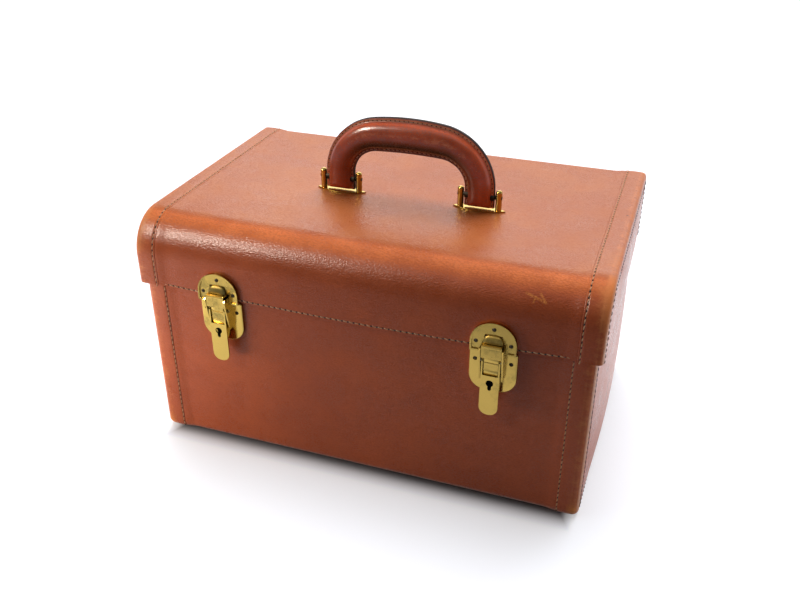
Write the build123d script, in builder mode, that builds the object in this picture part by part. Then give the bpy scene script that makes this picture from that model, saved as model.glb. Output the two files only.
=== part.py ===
"""Leather vanity case with a hinged lid, a swinging top handle and two lockable draw latches.

Millimetres. X runs to the right along the front, Y to the back and Z up. The origin is on the
surface that the case stands on, midway between the two ends.
"""

import os
from math import cos, radians, sin, tan

from build123d import *

os.makedirs("parts", exist_ok=True)

# Overall sizes
case_width = 338.0
lid_depth = 220.2
case_height = 136.2
lid_height = 52.3
end_step = 3.6
skirt_gap = 0.3
rim_gap = 0.3

# Leather, board and lining thicknesses
binding_thickness = 1.2
cover_thickness = 2.0
lid_board = 4.0
case_board = 4.8
collar_thickness = 2.5
collar_rise = 8.0
base_panel_margin = 9.0
floor_pad_thickness = 3.0
top_lining_thickness = 1.0

# Rounded edges of the leather
lid_front_round = 30.0
lid_back_round = 6.0
case_low_round = 8.0
lid_end_round = 4.0
case_end_round = 5.0

# Bindings and end panels
lid_binding_width = 17.0
case_binding_width = 16.5
binding_flange = 9.0
panel_gap = 0.15
window_round = 3.0
case_pad_thickness = 6.0
case_pad_crown = 4.0
lid_pad_thickness = 3.4
lid_pad_crown = 2.0
skirt_bow = 4.0

# Mirror inside the lid
mirror_width = 210.0
mirror_depth = 130.0
mirror_glass = 3.0
mirror_frame_width = 9.0
mirror_frame_thickness = 4.5
mirror_lip = 2.0

# Hinges
hinge_from_end = 74.0
hinge_width = 48.0
hinge_leaf_height = 16.0
hinge_leaf_thickness = 1.2
knuckle_radius = 2.6
knuckle_gap = 0.3
knuckle_standoff = 0.4
hinge_pin_radius = 1.3
hinge_running_fit = 0.05
hinge_leaf_clear = 3.2
hinge_nail_spacing = 17.3
hinge_nail_height = 9.9

# Nails
nail_shank_radius = 0.8
nail_head_radius = 1.45
nail_head_height = 0.8
nail_seat = 0.8
nail_length = 6.0
nail_fit = 0.05

# Lid stays
stay_drop = 12.2
stay_floor_gap = 8.3
lid_opening = 95.0
stay_thickness = 1.5
stay_half_width = 4.5
stay_stud_radius = 2.0
stay_stud_gap = 0.3
stay_side_gap = 1.4
stay_pivot_radius = 2.0
stay_pivot_fit = 0.05
stay_foot_radius = 5.0
stay_foot_thickness = 1.2
stay_head_radius = 3.4
stay_head_thickness = 0.8

# Latches, on their own centre lines, with their heights counted from the rim of the case
latch_left_from_end = 63.5
latch_right_from_end = 68.7
latch_plate_width = 33.4
latch_plate_height = 32.5
latch_plate_drop = 5.1
latch_plate_thickness = 2.4
latch_plate_low_round = 12.0
latch_plate_high_round = 1.5
latch_plate_edge = 0.9
latch_nail_spacing = 25.0
latch_nail_drop = 8.0
cheek_side_gap = 0.3
cheek_thickness = 1.1
cheek_fall = 15.4
cheek_rise = 10.6
cheek_low_reach = 4.7
cheek_high_reach = 9.2
cheek_catch_gap = 0.4

lever_pivot_drop = 10.1
lever_pivot_reach = 4.2
lever_pin_radius = 1.25
lever_running_fit = 0.05
lever_eye_radius = 2.8
lever_width = 13.2
lever_flange_thickness = 1.2
lever_face_thickness = 1.2
lever_face_reach = 7.2
lever_face_drop = 10.6
lever_length = 42.6
lever_tongue_round = 6.2
lever_flange_length = 23.4
lever_flange_taper = 4.5
link_drop = 7.2
link_setback = 0.5
link_pin_radius = 1.0
link_running_fit = 0.06
link_eye_radius = 2.2
link_side_gap = 0.4
link_thickness = 1.2
link_length = 10.6
hook_side_step = 0.4
hook_height = 9.8
hook_reach = 8.2
hook_catch_gap = 0.3

keyhole_drop = 16.6
keyhole_radius = 2.6
keyhole_slot_width = 2.6
keyhole_slot_drop = 5.7
lock_pin_radius = 0.8
lock_running_fit = 0.05
lock_sleeve_radius = 2.2
lock_finger_length = 5.0
lock_finger_width = 1.6
lock_finger_thickness = 1.1
lock_bridge_thickness = 0.8
lock_bridge_setback = 3.4
lock_bridge_reach = 2.6
lock_bridge_height = 4.4
lock_side_gap = 0.3
lock_post_inside = 3.6
lock_post_thickness = 1.0
lock_post_height = 5.2
lock_post_reach = 5.4
lock_slot_gap = 0.4

catch_width = 32.0
catch_plate_gap = 0.6
catch_straight = 7.0
catch_thickness = 1.6
catch_rim_width = 1.3
catch_rim_height = 1.0
catch_rim_side_gap = 1.6
catch_rim_end_gap = 1.5
catch_window_gap = 0.3
catch_window_taper = 1.3
catch_window_height = 7.4
hook_grip = 1.5
catch_top_nail_rise = 10.8
catch_side_nail_rise = 0.3
catch_side_nail_spacing = 24.0

# Handle
handle_x = 6.5
handle_y = -8.0
handle_leg_spacing = 110.0
handle_leg_width = 22.5
handle_height = 63.4
handle_band = 26.6
handle_thickness = 17.0
handle_edge_round = 6.0
handle_leg_straight = 5.0
handle_outer_crown = 8.0
handle_inner_crown = 4.0
handle_foot_gap = 1.3
handle_core_width = 8.0
handle_core_thickness = 3.0
handle_core_clear = 6.0
handle_core_straight = 1.4
handle_bush_wall = 1.4
handle_pin_radius = 1.5
handle_running_fit = 0.1
handle_pin_setback = 0.05
handle_plate_overhang = 5.5
handle_plate_width = 11.0
handle_plate_thickness = 1.2
handle_post_gap = 0.85
handle_post_radius = 2.4
handle_post_rise = 5.7
handle_post_round = 1.7

# Extra length with which a bore passes out of both sides of a piece
bore_margin = 1.0

# Places worked out from the sizes above
leather = binding_thickness + cover_thickness
case_half = case_width / 2
lid_half = case_half + end_step
lid_front = -lid_depth / 2
back = lid_depth / 2
case_front = lid_front + leather + skirt_gap
parting = case_height + rim_gap
lid_top = parting + lid_height

lid_face = lid_front + binding_thickness
case_face = case_front + binding_thickness
back_face = back - binding_thickness
lid_end = lid_half - binding_thickness
case_end = case_half - binding_thickness
cover_top = lid_top - binding_thickness

lid_board_front = lid_front + leather
case_board_front = case_front + leather
board_back = back - leather
lid_inner_front = lid_board_front + lid_board
case_inner_front = case_board_front + case_board
lid_inner_back = board_back - lid_board
case_inner_back = board_back - case_board
lid_inner_end = lid_end - lid_board
case_inner_end = case_end - case_board
lid_ceiling = lid_top - leather - lid_board
case_floor = leather + case_board
collar_top = case_height + collar_rise

hinge_y = back_face + knuckle_standoff + knuckle_radius
hinge_z = parting

plate_face = case_face - latch_plate_thickness
catch_face = lid_face - catch_thickness
latch_left_x = latch_left_from_end - case_half
latch_right_x = case_half - latch_right_from_end
sides = (("left", -1), ("right", 1))


def span(x, y, z, mode=Mode.ADD):
    """A block between two corners, given as one pair of limits for each axis."""
    with Locations((x[0], y[0], z[0])):
        Box(x[1] - x[0], y[1] - y[0], z[1] - z[0], align=Align.MIN, mode=mode)


def front_places(points, y):
    """Places on a plane that faces the front, at height y back from the origin."""
    return [Plane(origin=(x, y, z), x_dir=(1, 0, 0), z_dir=(0, -1, 0)).location for x, z in points]


def back_places(points, y):
    """Places on a plane that faces the back."""
    return [Plane(origin=(x, y, z), x_dir=(-1, 0, 0), z_dir=(0, 1, 0)).location for x, z in points]


def side_outline(front, rear, low, high, front_round, rear_round, top):
    """The side view of a case half, rounded at its two top corners or its two bottom corners."""
    with BuildSketch(Plane.YZ) as outline:
        with Locations(((front + rear) / 2, (low + high) / 2)):
            Rectangle(rear - front, high - low)
        corners = outline.vertices().group_by(Axis.Y)[-1 if top else 0].sort_by(Axis.X)
        fillet(corners[0], front_round)
        corners = outline.vertices().group_by(Axis.Y)[-1 if top else 0].sort_by(Axis.X)
        fillet(corners[-1], rear_round)
    return outline.sketch_local


def case_outline(inset):
    """The case's side view, moved in on the front, the bottom and the back."""
    low_round = max(case_low_round - inset, window_round)
    return side_outline(case_front + inset, back - inset, inset, case_height, low_round, low_round, False)


def lid_outline(inset):
    """The lid's side view, moved in on the front, the top and the back."""
    front_round = max(lid_front_round - inset, window_round)
    back_round = max(lid_back_round - inset, window_round)
    rear = back - inset
    return side_outline(lid_front + inset, rear, parting, lid_top - inset, front_round, back_round, True)


def case_block(inset):
    """The case's whole outer form, moved in by inset and rounded at its ends."""
    with BuildPart() as block:
        with BuildSketch(Plane.YZ):
            add(case_outline(inset))
        extrude(amount=case_half - inset, both=True)
        ends = block.faces().filter_by(Axis.X).edges()
        fillet(ends.filter_by(lambda edge: edge.center().Z < case_height - rim_gap), case_end_round - inset)
    return block.part


def lid_block(inset):
    """The lid's whole outer form, moved in by inset and rounded at its ends."""
    with BuildPart() as block:
        with BuildSketch(Plane.YZ):
            add(lid_outline(inset))
        extrude(amount=lid_half - inset, both=True)
        ends = block.faces().filter_by(Axis.X).edges()
        fillet(ends.filter_by(lambda edge: edge.center().Z > parting + rim_gap), lid_end_round - inset)
    return block.part


def cut_through(outline, half):
    """Cut an outline of the side view right through the piece, from end to end."""
    with BuildSketch(Plane.YZ) as profile:
        add(outline)
    extrude(profile.sketch, amount=half, both=True, mode=Mode.SUBTRACT)


def finish(builder, name):
    """Label a finished piece and write it."""
    builder.part.label = name
    export_step(builder.part, f"parts/{name}.step")


def nail_group(locations):
    """Nails with round heads, standing on the given places."""
    with Locations(*locations):
        Cylinder(nail_shank_radius, nail_length + nail_seat, align=(Align.CENTER, Align.CENTER, Align.MIN))
    heads = [place * Location((0, 0, nail_length + nail_seat)) for place in locations]
    with Locations(*heads):
        Cylinder(nail_head_radius, nail_head_height, align=(Align.CENTER, Align.CENTER, Align.MIN))


def nail_holes(locations, depth):
    """Stepped holes for nails, each place on the outer face of a plate that is depth thick."""
    with Locations(*locations):
        CounterBoreHole(nail_shank_radius + nail_fit, nail_head_radius + nail_fit, depth - nail_seat, depth)


case_outer = case_block(0)
case_inner = case_block(binding_thickness)
lid_outer = lid_block(0)
lid_inner = lid_block(binding_thickness)

# Fibreboard of the case
with BuildPart() as case_bottom_board:
    with BuildSketch(Plane.YZ):
        add(case_outline(leather))
    extrude(amount=case_inner_end, both=True)
    span(
        (-case_inner_end, case_inner_end),
        (case_board_front, board_back),
        (leather, case_floor),
        mode=Mode.INTERSECT,
    )
finish(case_bottom_board, "case_bottom_board")

with BuildPart() as case_front_board:
    span((-case_inner_end, case_inner_end), (case_board_front, case_inner_front), (case_floor, case_height))
finish(case_front_board, "case_front_board")

with BuildPart() as case_back_board:
    span((-case_inner_end, case_inner_end), (case_inner_back, board_back), (case_floor, case_height))
finish(case_back_board, "case_back_board")

with BuildPart() as case_end_boards:
    for _, side in sides:
        with BuildSketch(Plane.YZ.offset(side * case_inner_end)):
            add(case_outline(leather))
        extrude(amount=side * case_board)
    add(case_inner, mode=Mode.INTERSECT)
finish(case_end_boards, "case_end_boards")

# Leather of the case
with BuildPart() as case_cover:
    add(case_inner)
    cut_through(case_outline(leather), case_half)
finish(case_cover, "case_cover")

base_half = case_half - case_binding_width - panel_gap
with BuildPart() as case_base_panel:
    span(
        (-base_half, base_half),
        (case_front + base_panel_margin, back - base_panel_margin),
        (0, binding_thickness),
    )
finish(case_base_panel, "case_base_panel")

for name, side in sides:
    with BuildPart() as case_binding:
        add(case_outer)
        add(case_inner, mode=Mode.SUBTRACT)
        strip = sorted((side * (case_half - case_binding_width), side * case_half))
        span(strip, (case_front, back), (0, case_height), mode=Mode.INTERSECT)
        cut_through(case_outline(binding_flange), case_half)
    finish(case_binding, f"case_{name}_binding")

    with BuildPart() as case_end_panel:
        with BuildSketch(Plane.YZ.offset(side * case_end)):
            add(case_outline(binding_flange + panel_gap))
        extrude(amount=side * case_pad_thickness)
        half_depth = (back - case_front) / 2 - binding_flange
        crown_radius = (half_depth**2 + case_pad_crown**2) / (2 * case_pad_crown)
        middle = (case_front + back) / 2
        with Locations((side * (case_end + case_pad_thickness - crown_radius), middle, case_height / 2)):
            Sphere(crown_radius, mode=Mode.INTERSECT)
    finish(case_end_panel, f"case_{name}_end_panel")

# Lining of the case: four walls that rise into the lid, and a pad on the floor
collar_low = case_floor + floor_pad_thickness
with BuildPart() as collar_front:
    collar_y = (case_inner_front, case_inner_front + collar_thickness)
    span((-case_inner_end, case_inner_end), collar_y, (collar_low, collar_top))
finish(collar_front, "collar_front")

with BuildPart() as collar_back:
    collar_y = (case_inner_back - collar_thickness, case_inner_back)
    span((-case_inner_end, case_inner_end), collar_y, (collar_low, collar_top))
finish(collar_back, "collar_back")

for name, side in sides:
    with BuildPart() as collar_end:
        collar_x = sorted((side * (case_inner_end - collar_thickness), side * case_inner_end))
        collar_y = (case_inner_front + collar_thickness, case_inner_back - collar_thickness)
        span(collar_x, collar_y, (collar_low, collar_top))
    finish(collar_end, f"collar_{name}")

with BuildPart() as floor_pad:
    pad_y = (case_inner_front, case_inner_back)
    span((-case_inner_end, case_inner_end), pad_y, (case_floor, collar_low))
finish(floor_pad, "floor_pad")

# Boards of the lid
lid_round_y = lid_front + lid_front_round
lid_round_z = lid_top - lid_front_round
moulding_inner = lid_front_round - leather - lid_board
with BuildPart() as lid_front_board:
    span((-lid_inner_end, lid_inner_end), (lid_board_front, lid_inner_front), (parting, lid_round_z))
finish(lid_front_board, "lid_front_board")

with BuildPart() as lid_corner_moulding:
    with BuildSketch(Plane.YZ) as moulding_profile:
        with BuildLine():
            outer = CenterArc((lid_round_y, lid_round_z), lid_front_round - leather, 90, 90)
            Line(outer @ 1, (lid_round_y - moulding_inner, lid_round_z))
            Line((lid_round_y - moulding_inner, lid_round_z), (lid_round_y, lid_round_z + moulding_inner))
            Line((lid_round_y, lid_round_z + moulding_inner), outer @ 0)
        make_face()
    extrude(amount=lid_inner_end, both=True)
finish(lid_corner_moulding, "lid_corner_moulding")

with BuildPart() as lid_top_board:
    top_z = (lid_ceiling, lid_ceiling + lid_board)
    span((-lid_inner_end, lid_inner_end), (lid_round_y, board_back), top_z)
    back_round = max(lid_back_round - leather, window_round)
    back_edge = lid_top_board.edges().filter_by(Axis.X).group_by(Axis.Z)[-1].sort_by(Axis.Y)[-1]
    fillet(back_edge, back_round)
finish(lid_top_board, "lid_top_board")

with BuildPart() as lid_back_board:
    span((-lid_inner_end, lid_inner_end), (lid_inner_back, board_back), (parting, lid_ceiling))
finish(lid_back_board, "lid_back_board")

with BuildPart() as lid_end_boards:
    for _, side in sides:
        with BuildSketch(Plane.YZ.offset(side * lid_inner_end)):
            add(lid_outline(leather))
        extrude(amount=side * lid_board)
    add(lid_inner, mode=Mode.INTERSECT)
finish(lid_end_boards, "lid_end_boards")

# Leather of the lid, with a front skirt whose lower edge bows down
with BuildPart() as lid_cover:
    add(lid_inner)
    cut_through(lid_outline(leather), lid_half)
    skirt_half = lid_half - lid_binding_width
    with BuildSketch(Plane.XZ.offset(-lid_board_front)) as skirt:
        with BuildLine():
            lower = ThreePointArc((-skirt_half, parting), (0, parting - skirt_bow), (skirt_half, parting))
            Line(lower @ 0, lower @ 1)
        make_face()
    extrude(amount=cover_thickness)
finish(lid_cover, "lid_cover")

for name, side in sides:
    with BuildPart() as lid_binding:
        add(lid_outer)
        add(lid_inner, mode=Mode.SUBTRACT)
        strip = sorted((side * (lid_half - lid_binding_width), side * lid_half))
        span(strip, (lid_front, back), (parting, lid_top), mode=Mode.INTERSECT)
        cut_through(lid_outline(binding_flange), lid_half)
    finish(lid_binding, f"lid_{name}_binding")

    with BuildPart() as lid_end_panel:
        with BuildSketch(Plane.YZ.offset(side * lid_end)):
            add(lid_outline(binding_flange + panel_gap))
        extrude(amount=side * lid_pad_thickness)
        half_depth = lid_depth / 2 - binding_flange
        crown_radius = (half_depth**2 + lid_pad_crown**2) / (2 * lid_pad_crown)
        with Locations((side * (lid_end + lid_pad_thickness - crown_radius), 0, parting + lid_height / 2)):
            Sphere(crown_radius, mode=Mode.INTERSECT)
    finish(lid_end_panel, f"lid_{name}_end_panel")

# Lining and mirror under the lid's top
mirror_y = (lid_round_y + lid_inner_back) / 2
lining_z = (lid_ceiling - top_lining_thickness, lid_ceiling)
with BuildPart() as lid_lining:
    span((-lid_inner_end, lid_inner_end), (lid_round_y, lid_inner_back), lining_z)
finish(lid_lining, "lid_lining")

frame_low = lining_z[0] - mirror_frame_thickness
with BuildPart() as mirror_frame:
    with BuildSketch(Plane.XY.offset(frame_low)):
        with Locations((0, mirror_y)):
            RectangleRounded(
                mirror_width + 2 * mirror_frame_width,
                mirror_depth + 2 * mirror_frame_width,
                mirror_frame_width,
            )
    extrude(amount=mirror_frame_thickness)
    with Locations((0, mirror_y, lining_z[0])):
        Box(
            mirror_width,
            mirror_depth,
            mirror_glass,
            align=(Align.CENTER, Align.CENTER, Align.MAX),
            mode=Mode.SUBTRACT,
        )
    with Locations((0, mirror_y, frame_low)):
        Box(
            mirror_width - 2 * mirror_lip,
            mirror_depth - 2 * mirror_lip,
            mirror_frame_thickness,
            align=(Align.CENTER, Align.CENTER, Align.MIN),
            mode=Mode.SUBTRACT,
        )
finish(mirror_frame, "mirror_frame")

with BuildPart() as mirror:
    with Locations((0, mirror_y, lining_z[0])):
        Box(
            mirror_width,
            mirror_depth,
            mirror_glass,
            align=(Align.CENTER, Align.CENTER, Align.MAX),
        )
finish(mirror, "mirror")

# Hinges: the case holds the two outer knuckles of each, and the lid the middle one
knuckle_length = hinge_width / 3
leaf_nails = [(step * hinge_nail_spacing, hinge_nail_height) for step in (-1, 0, 1)]


def hinge_leaf(centre, side, knuckles):
    """One leaf against the back, above the pin for side 1 and below it for side -1, with its knuckles."""
    leaf_y = (back_face, back_face + hinge_leaf_thickness)
    leaf_z = sorted((hinge_z + side * hinge_leaf_clear, hinge_z + side * hinge_leaf_height))
    span((centre - hinge_width / 2, centre + hinge_width / 2), leaf_y, leaf_z)
    for low, high in knuckles:
        tab_z = sorted((hinge_z + side * hinge_pin_radius, hinge_z + side * hinge_leaf_clear))
        span((centre + low, centre + high), leaf_y, tab_z)
        with Locations(Plane(origin=(centre + low, hinge_y, hinge_z), z_dir=(1, 0, 0)).location):
            Cylinder(knuckle_radius, high - low, align=(Align.CENTER, Align.CENTER, Align.MIN))


case_knuckles = (
    (-hinge_width / 2, -knuckle_length / 2 - knuckle_gap / 2),
    (knuckle_length / 2 + knuckle_gap / 2, hinge_width / 2),
)
lid_knuckles = ((-knuckle_length / 2 + knuckle_gap / 2, knuckle_length / 2 - knuckle_gap / 2),)
hinge_centres = [side * (case_half - hinge_from_end) for _, side in sides]
hinge_axes = [Plane(origin=(x, hinge_y, hinge_z), z_dir=(1, 0, 0)).location for x in hinge_centres]
case_leaf_nails = [(c + x, hinge_z - z) for c in hinge_centres for x, z in leaf_nails]
lid_leaf_nails = [(c + x, hinge_z + z) for c in hinge_centres for x, z in leaf_nails]

with BuildPart() as hinge_case_leaves:
    for centre in hinge_centres:
        hinge_leaf(centre, -1, case_knuckles)
    with Locations(*hinge_axes):
        Cylinder(hinge_pin_radius, hinge_width + 2 * bore_margin, mode=Mode.SUBTRACT)
    nail_holes(back_places(case_leaf_nails, back_face + hinge_leaf_thickness), hinge_leaf_thickness)
finish(hinge_case_leaves, "hinge_case_leaves")

with BuildPart() as hinge_lid_leaves:
    for centre in hinge_centres:
        hinge_leaf(centre, 1, lid_knuckles)
    with Locations(*hinge_axes):
        bore_length = hinge_width + 2 * bore_margin
        Cylinder(hinge_pin_radius + hinge_running_fit, bore_length, mode=Mode.SUBTRACT)
    nail_holes(back_places(lid_leaf_nails, back_face + hinge_leaf_thickness), hinge_leaf_thickness)
finish(hinge_lid_leaves, "hinge_lid_leaves")

with BuildPart() as hinge_pins:
    with Locations(*hinge_axes):
        Cylinder(hinge_pin_radius, hinge_width)
finish(hinge_pins, "hinge_pins")

# Latch plates on the case, with two cheeks and a post each, whose slot takes the lock cam's finger
# from above
latch_plate_high = parting - latch_plate_drop
latch_plate_low = latch_plate_high - latch_plate_height
lever_pivot_y = plate_face - lever_pivot_reach
lever_pivot_z = parting - lever_pivot_drop
lever_face_high = lever_pivot_z - lever_face_drop
lever_tongue_low = lever_pivot_z - lever_length
lever_flange_low = lever_pivot_z - lever_flange_length
flange_inside = lever_width / 2 - lever_flange_thickness
lever_face_y = plate_face - lever_face_reach
lever_back_y = lever_face_y + lever_face_thickness
link_pin_y = lever_pivot_y + link_setback
link_pin_z = lever_pivot_z - link_drop
link_half_width = flange_inside - link_side_gap
hook_half_width = lever_width / 2 + hook_side_step
hook_low = link_pin_z + link_length
hook_high = hook_low + hook_height
cheek_low = lever_pivot_z - cheek_fall
cheek_high = lever_pivot_z + cheek_rise
cheek_inside = hook_half_width + cheek_side_gap
cheek_outside = cheek_inside + cheek_thickness
keyhole_z = lever_pivot_z - keyhole_drop
keyhole_slot_low = keyhole_z - keyhole_slot_drop
catch_low = latch_plate_high + catch_plate_gap
catch_arch_z = catch_low + catch_straight
catch_window_low = hook_high - hook_grip
catch_window_high = catch_window_low + catch_window_height
catch_window_low_half = hook_half_width + catch_window_gap
catch_window_high_half = catch_window_low_half - catch_window_taper
catch_rim_open = cheek_outside + catch_rim_side_gap
catch_rim_open_high = catch_window_high + catch_rim_end_gap
latches = (("left", latch_left_x), ("right", latch_right_x))
plate_nails = [(side * latch_nail_spacing / 2, latch_plate_high - latch_nail_drop) for _, side in sides]
side_nail_z = catch_arch_z + catch_side_nail_rise
catch_nails = [(side * catch_side_nail_spacing / 2, side_nail_z) for _, side in sides]
catch_nails.append((0, catch_arch_z + catch_top_nail_rise))
bridge_y = lever_back_y + lock_bridge_setback
finger_y = bridge_y - lock_side_gap - lock_finger_thickness


def cross_pin(x, y, z, radius, length, mode=Mode.ADD):
    """A round pin along X, from x towards the right."""
    with Locations(Plane(origin=(x, y, z), z_dir=(1, 0, 0)).location):
        Cylinder(radius, length, align=(Align.CENTER, Align.CENTER, Align.MIN), mode=mode)


for name, centre in latches:
    with BuildPart() as latch_plate:
        with BuildSketch(Plane.XZ.offset(-case_face)) as plate_outline:
            with Locations((centre, (latch_plate_low + latch_plate_high) / 2)):
                Rectangle(latch_plate_width, latch_plate_high - latch_plate_low)
            fillet(plate_outline.vertices().group_by(Axis.Y)[0], latch_plate_low_round)
            fillet(plate_outline.vertices().group_by(Axis.Y)[-1], latch_plate_high_round)
        extrude(amount=latch_plate_thickness)
        fillet(latch_plate.faces().sort_by(Axis.Y)[0].edges(), latch_plate_edge)
        for low in (centre - cheek_outside, centre + cheek_inside):
            with BuildSketch(Plane.YZ.offset(low)):
                with BuildLine():
                    Polyline(
                        (plate_face, cheek_low),
                        (plate_face - cheek_low_reach, cheek_low),
                        (plate_face - cheek_high_reach, cheek_high - cheek_thickness),
                        (plate_face - cheek_high_reach + cheek_thickness, cheek_high),
                        (catch_face - cheek_catch_gap, cheek_high),
                        (catch_face - cheek_catch_gap, latch_plate_high),
                        (plate_face, latch_plate_high - latch_plate_edge),
                        close=True,
                    )
                make_face()
            extrude(amount=cheek_thickness)
        cross_pin(
            centre - cheek_outside - bore_margin,
            lever_pivot_y,
            lever_pivot_z,
            lever_pin_radius,
            2 * (cheek_outside + bore_margin),
            mode=Mode.SUBTRACT,
        )
        post_z = (keyhole_z - lock_post_height / 2, keyhole_z + lock_post_height / 2)
        post_x = (centre + lock_post_inside, centre + lock_post_inside + lock_post_thickness)
        span(post_x, (plate_face - lock_post_reach, plate_face), post_z)
        slot_half = lock_finger_width / 2 + lock_slot_gap
        slot_y = (finger_y - lock_side_gap, finger_y + lock_finger_thickness + lock_side_gap)
        span(post_x, slot_y, (keyhole_z - slot_half, post_z[1]), mode=Mode.SUBTRACT)
        nail_places = front_places([(centre + x, z) for x, z in plate_nails], plate_face)
        nail_holes(nail_places, latch_plate_thickness)
    finish(latch_plate, f"latch_plate_{name}")

    arch = catch_width / 2
    with BuildPart() as catch_plate:
        with BuildSketch(Plane.XZ.offset(-lid_face)) as catch_outline:
            with BuildLine():
                top = CenterArc((centre, catch_arch_z), arch, 0, 180)
                Polyline(top @ 1, (centre - arch, catch_low), (centre + arch, catch_low), top @ 0)
            make_face()
        extrude(amount=catch_thickness)
        with BuildSketch(Plane.XZ.offset(-catch_face)) as rim_outline:
            add(catch_outline.sketch_local)
            offset(amount=-catch_rim_width, mode=Mode.SUBTRACT)
        extrude(amount=catch_rim_height)
        span(
            (centre - catch_rim_open, centre + catch_rim_open),
            (catch_face - catch_rim_height, catch_face),
            (catch_low, catch_rim_open_high),
            mode=Mode.SUBTRACT,
        )
        with BuildSketch(Plane.XZ.offset(-lid_face)):
            with BuildLine():
                Polyline(
                    (centre - catch_window_low_half, catch_window_low),
                    (centre + catch_window_low_half, catch_window_low),
                    (centre + catch_window_high_half, catch_window_high),
                    (centre - catch_window_high_half, catch_window_high),
                    close=True,
                )
            make_face()
        extrude(amount=catch_thickness, mode=Mode.SUBTRACT)
        nail_places = front_places([(centre + x, z) for x, z in catch_nails], catch_face)
        nail_holes(nail_places, catch_thickness)
    finish(catch_plate, f"catch_plate_{name}")

    with BuildPart() as lever:
        with BuildSketch(Plane.XZ.offset(-lever_back_y)) as face_outline:
            with Locations((centre, (lever_tongue_low + lever_face_high) / 2)):
                Rectangle(lever_width, lever_face_high - lever_tongue_low)
            fillet(face_outline.vertices().group_by(Axis.Y)[0], lever_tongue_round)
        extrude(amount=lever_face_thickness)
        for low in (centre - lever_width / 2, centre + flange_inside):
            with BuildSketch(Plane.YZ.offset(low)):
                with BuildLine():
                    Polyline(
                        (lever_face_y, lever_flange_low),
                        (lever_back_y, lever_flange_low),
                        (lever_pivot_y + lever_eye_radius / 2, lever_flange_low + lever_flange_taper),
                        (lever_pivot_y + lever_eye_radius, lever_pivot_z),
                        (lever_pivot_y - lever_eye_radius, lever_pivot_z),
                        (lever_face_y, lever_face_high),
                        close=True,
                    )
                make_face()
                with Locations((lever_pivot_y, lever_pivot_z)):
                    Circle(lever_eye_radius)
            extrude(amount=lever_flange_thickness)
        with BuildSketch(Plane.XZ.offset(-lever_back_y)):
            with Locations((centre, keyhole_z)):
                Circle(keyhole_radius)
            slot_low = keyhole_slot_low + keyhole_slot_width / 2
            with Locations((centre, (keyhole_z + slot_low) / 2)):
                Rectangle(keyhole_slot_width, keyhole_z - slot_low)
            with Locations((centre, slot_low)):
                Circle(keyhole_slot_width / 2)
        extrude(amount=lever_face_thickness, mode=Mode.SUBTRACT)
        span(
            (centre - flange_inside, centre + lock_bridge_reach),
            (bridge_y, bridge_y + lock_bridge_thickness),
            (keyhole_z - lock_bridge_height / 2, keyhole_z + lock_bridge_height / 2),
        )
        with Locations(front_places([(centre, keyhole_z)], bridge_y)[0]):
            lock_pin_length = lock_bridge_setback
            Cylinder(lock_pin_radius, lock_pin_length, align=(Align.CENTER, Align.CENTER, Align.MIN))
        left_side = centre - lever_width / 2 - bore_margin
        for y, z, radius in (
            (lever_pivot_y, lever_pivot_z, lever_pin_radius + lever_running_fit),
            (link_pin_y, link_pin_z, link_pin_radius),
        ):
            cross_pin(left_side, y, z, radius, lever_width + 2 * bore_margin, mode=Mode.SUBTRACT)
    finish(lever, f"lever_{name}")

    with BuildPart() as link_pin:
        cross_pin(centre - lever_width / 2, link_pin_y, link_pin_z, link_pin_radius, lever_width)
    finish(link_pin, f"link_pin_{name}")

    strap_y = (link_pin_y - link_eye_radius, link_pin_y - link_eye_radius + link_thickness)
    hook_front = plate_face - hook_reach
    hook_x = (centre - hook_half_width, centre + hook_half_width)
    with BuildPart() as hook:
        cross_pin(centre - link_half_width, link_pin_y, link_pin_z, link_eye_radius, 2 * link_half_width)
        strap_x = (centre - link_half_width, centre + link_half_width)
        span(strap_x, strap_y, (link_pin_z, hook_low + link_thickness))
        span(hook_x, (hook_front, strap_y[1]), (hook_low, hook_low + link_thickness))
        span(hook_x, (hook_front, hook_front + link_thickness), (hook_low, hook_high))
        nose_y = (hook_front, catch_face - hook_catch_gap)
        span(hook_x, nose_y, (hook_high - link_thickness, hook_high))
        front_edges = hook.edges().filter_by(Axis.X).group_by(Axis.Y)[0]
        fillet(front_edges, link_thickness / 2)
        cross_pin(
            centre - link_half_width,
            link_pin_y,
            link_pin_z,
            link_pin_radius + link_running_fit,
            2 * link_half_width,
            mode=Mode.SUBTRACT,
        )
    finish(hook, f"hook_{name}")

    with BuildPart() as lock_cam:
        sleeve_length = lock_bridge_setback - 2 * lock_side_gap
        with Locations(front_places([(centre, keyhole_z)], bridge_y - lock_side_gap)[0]):
            Cylinder(lock_sleeve_radius, sleeve_length, align=(Align.CENTER, Align.CENTER, Align.MIN))
        finger_x = (centre - lock_finger_width / 2, centre + lock_finger_width / 2)
        finger_z = (keyhole_z, keyhole_z + lock_finger_length)
        span(finger_x, (finger_y, finger_y + lock_finger_thickness), finger_z)
        with Locations(front_places([(centre, keyhole_z)], bridge_y - lock_side_gap)[0]):
            bore_radius = lock_pin_radius + lock_running_fit
            bore_align = (Align.CENTER, Align.CENTER, Align.MIN)
            Cylinder(bore_radius, sleeve_length, align=bore_align, mode=Mode.SUBTRACT)
    finish(lock_cam, f"lock_cam_{name}")

# Stub pins on which the levers turn, one through each cheek
with BuildPart() as lever_pins:
    pin_length = cheek_outside - flange_inside
    for _, centre in latches:
        for low in (centre - cheek_outside, centre + flange_inside):
            cross_pin(low, lever_pivot_y, lever_pivot_z, lever_pin_radius, pin_length)
finish(lever_pins, "lever_pins")

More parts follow.
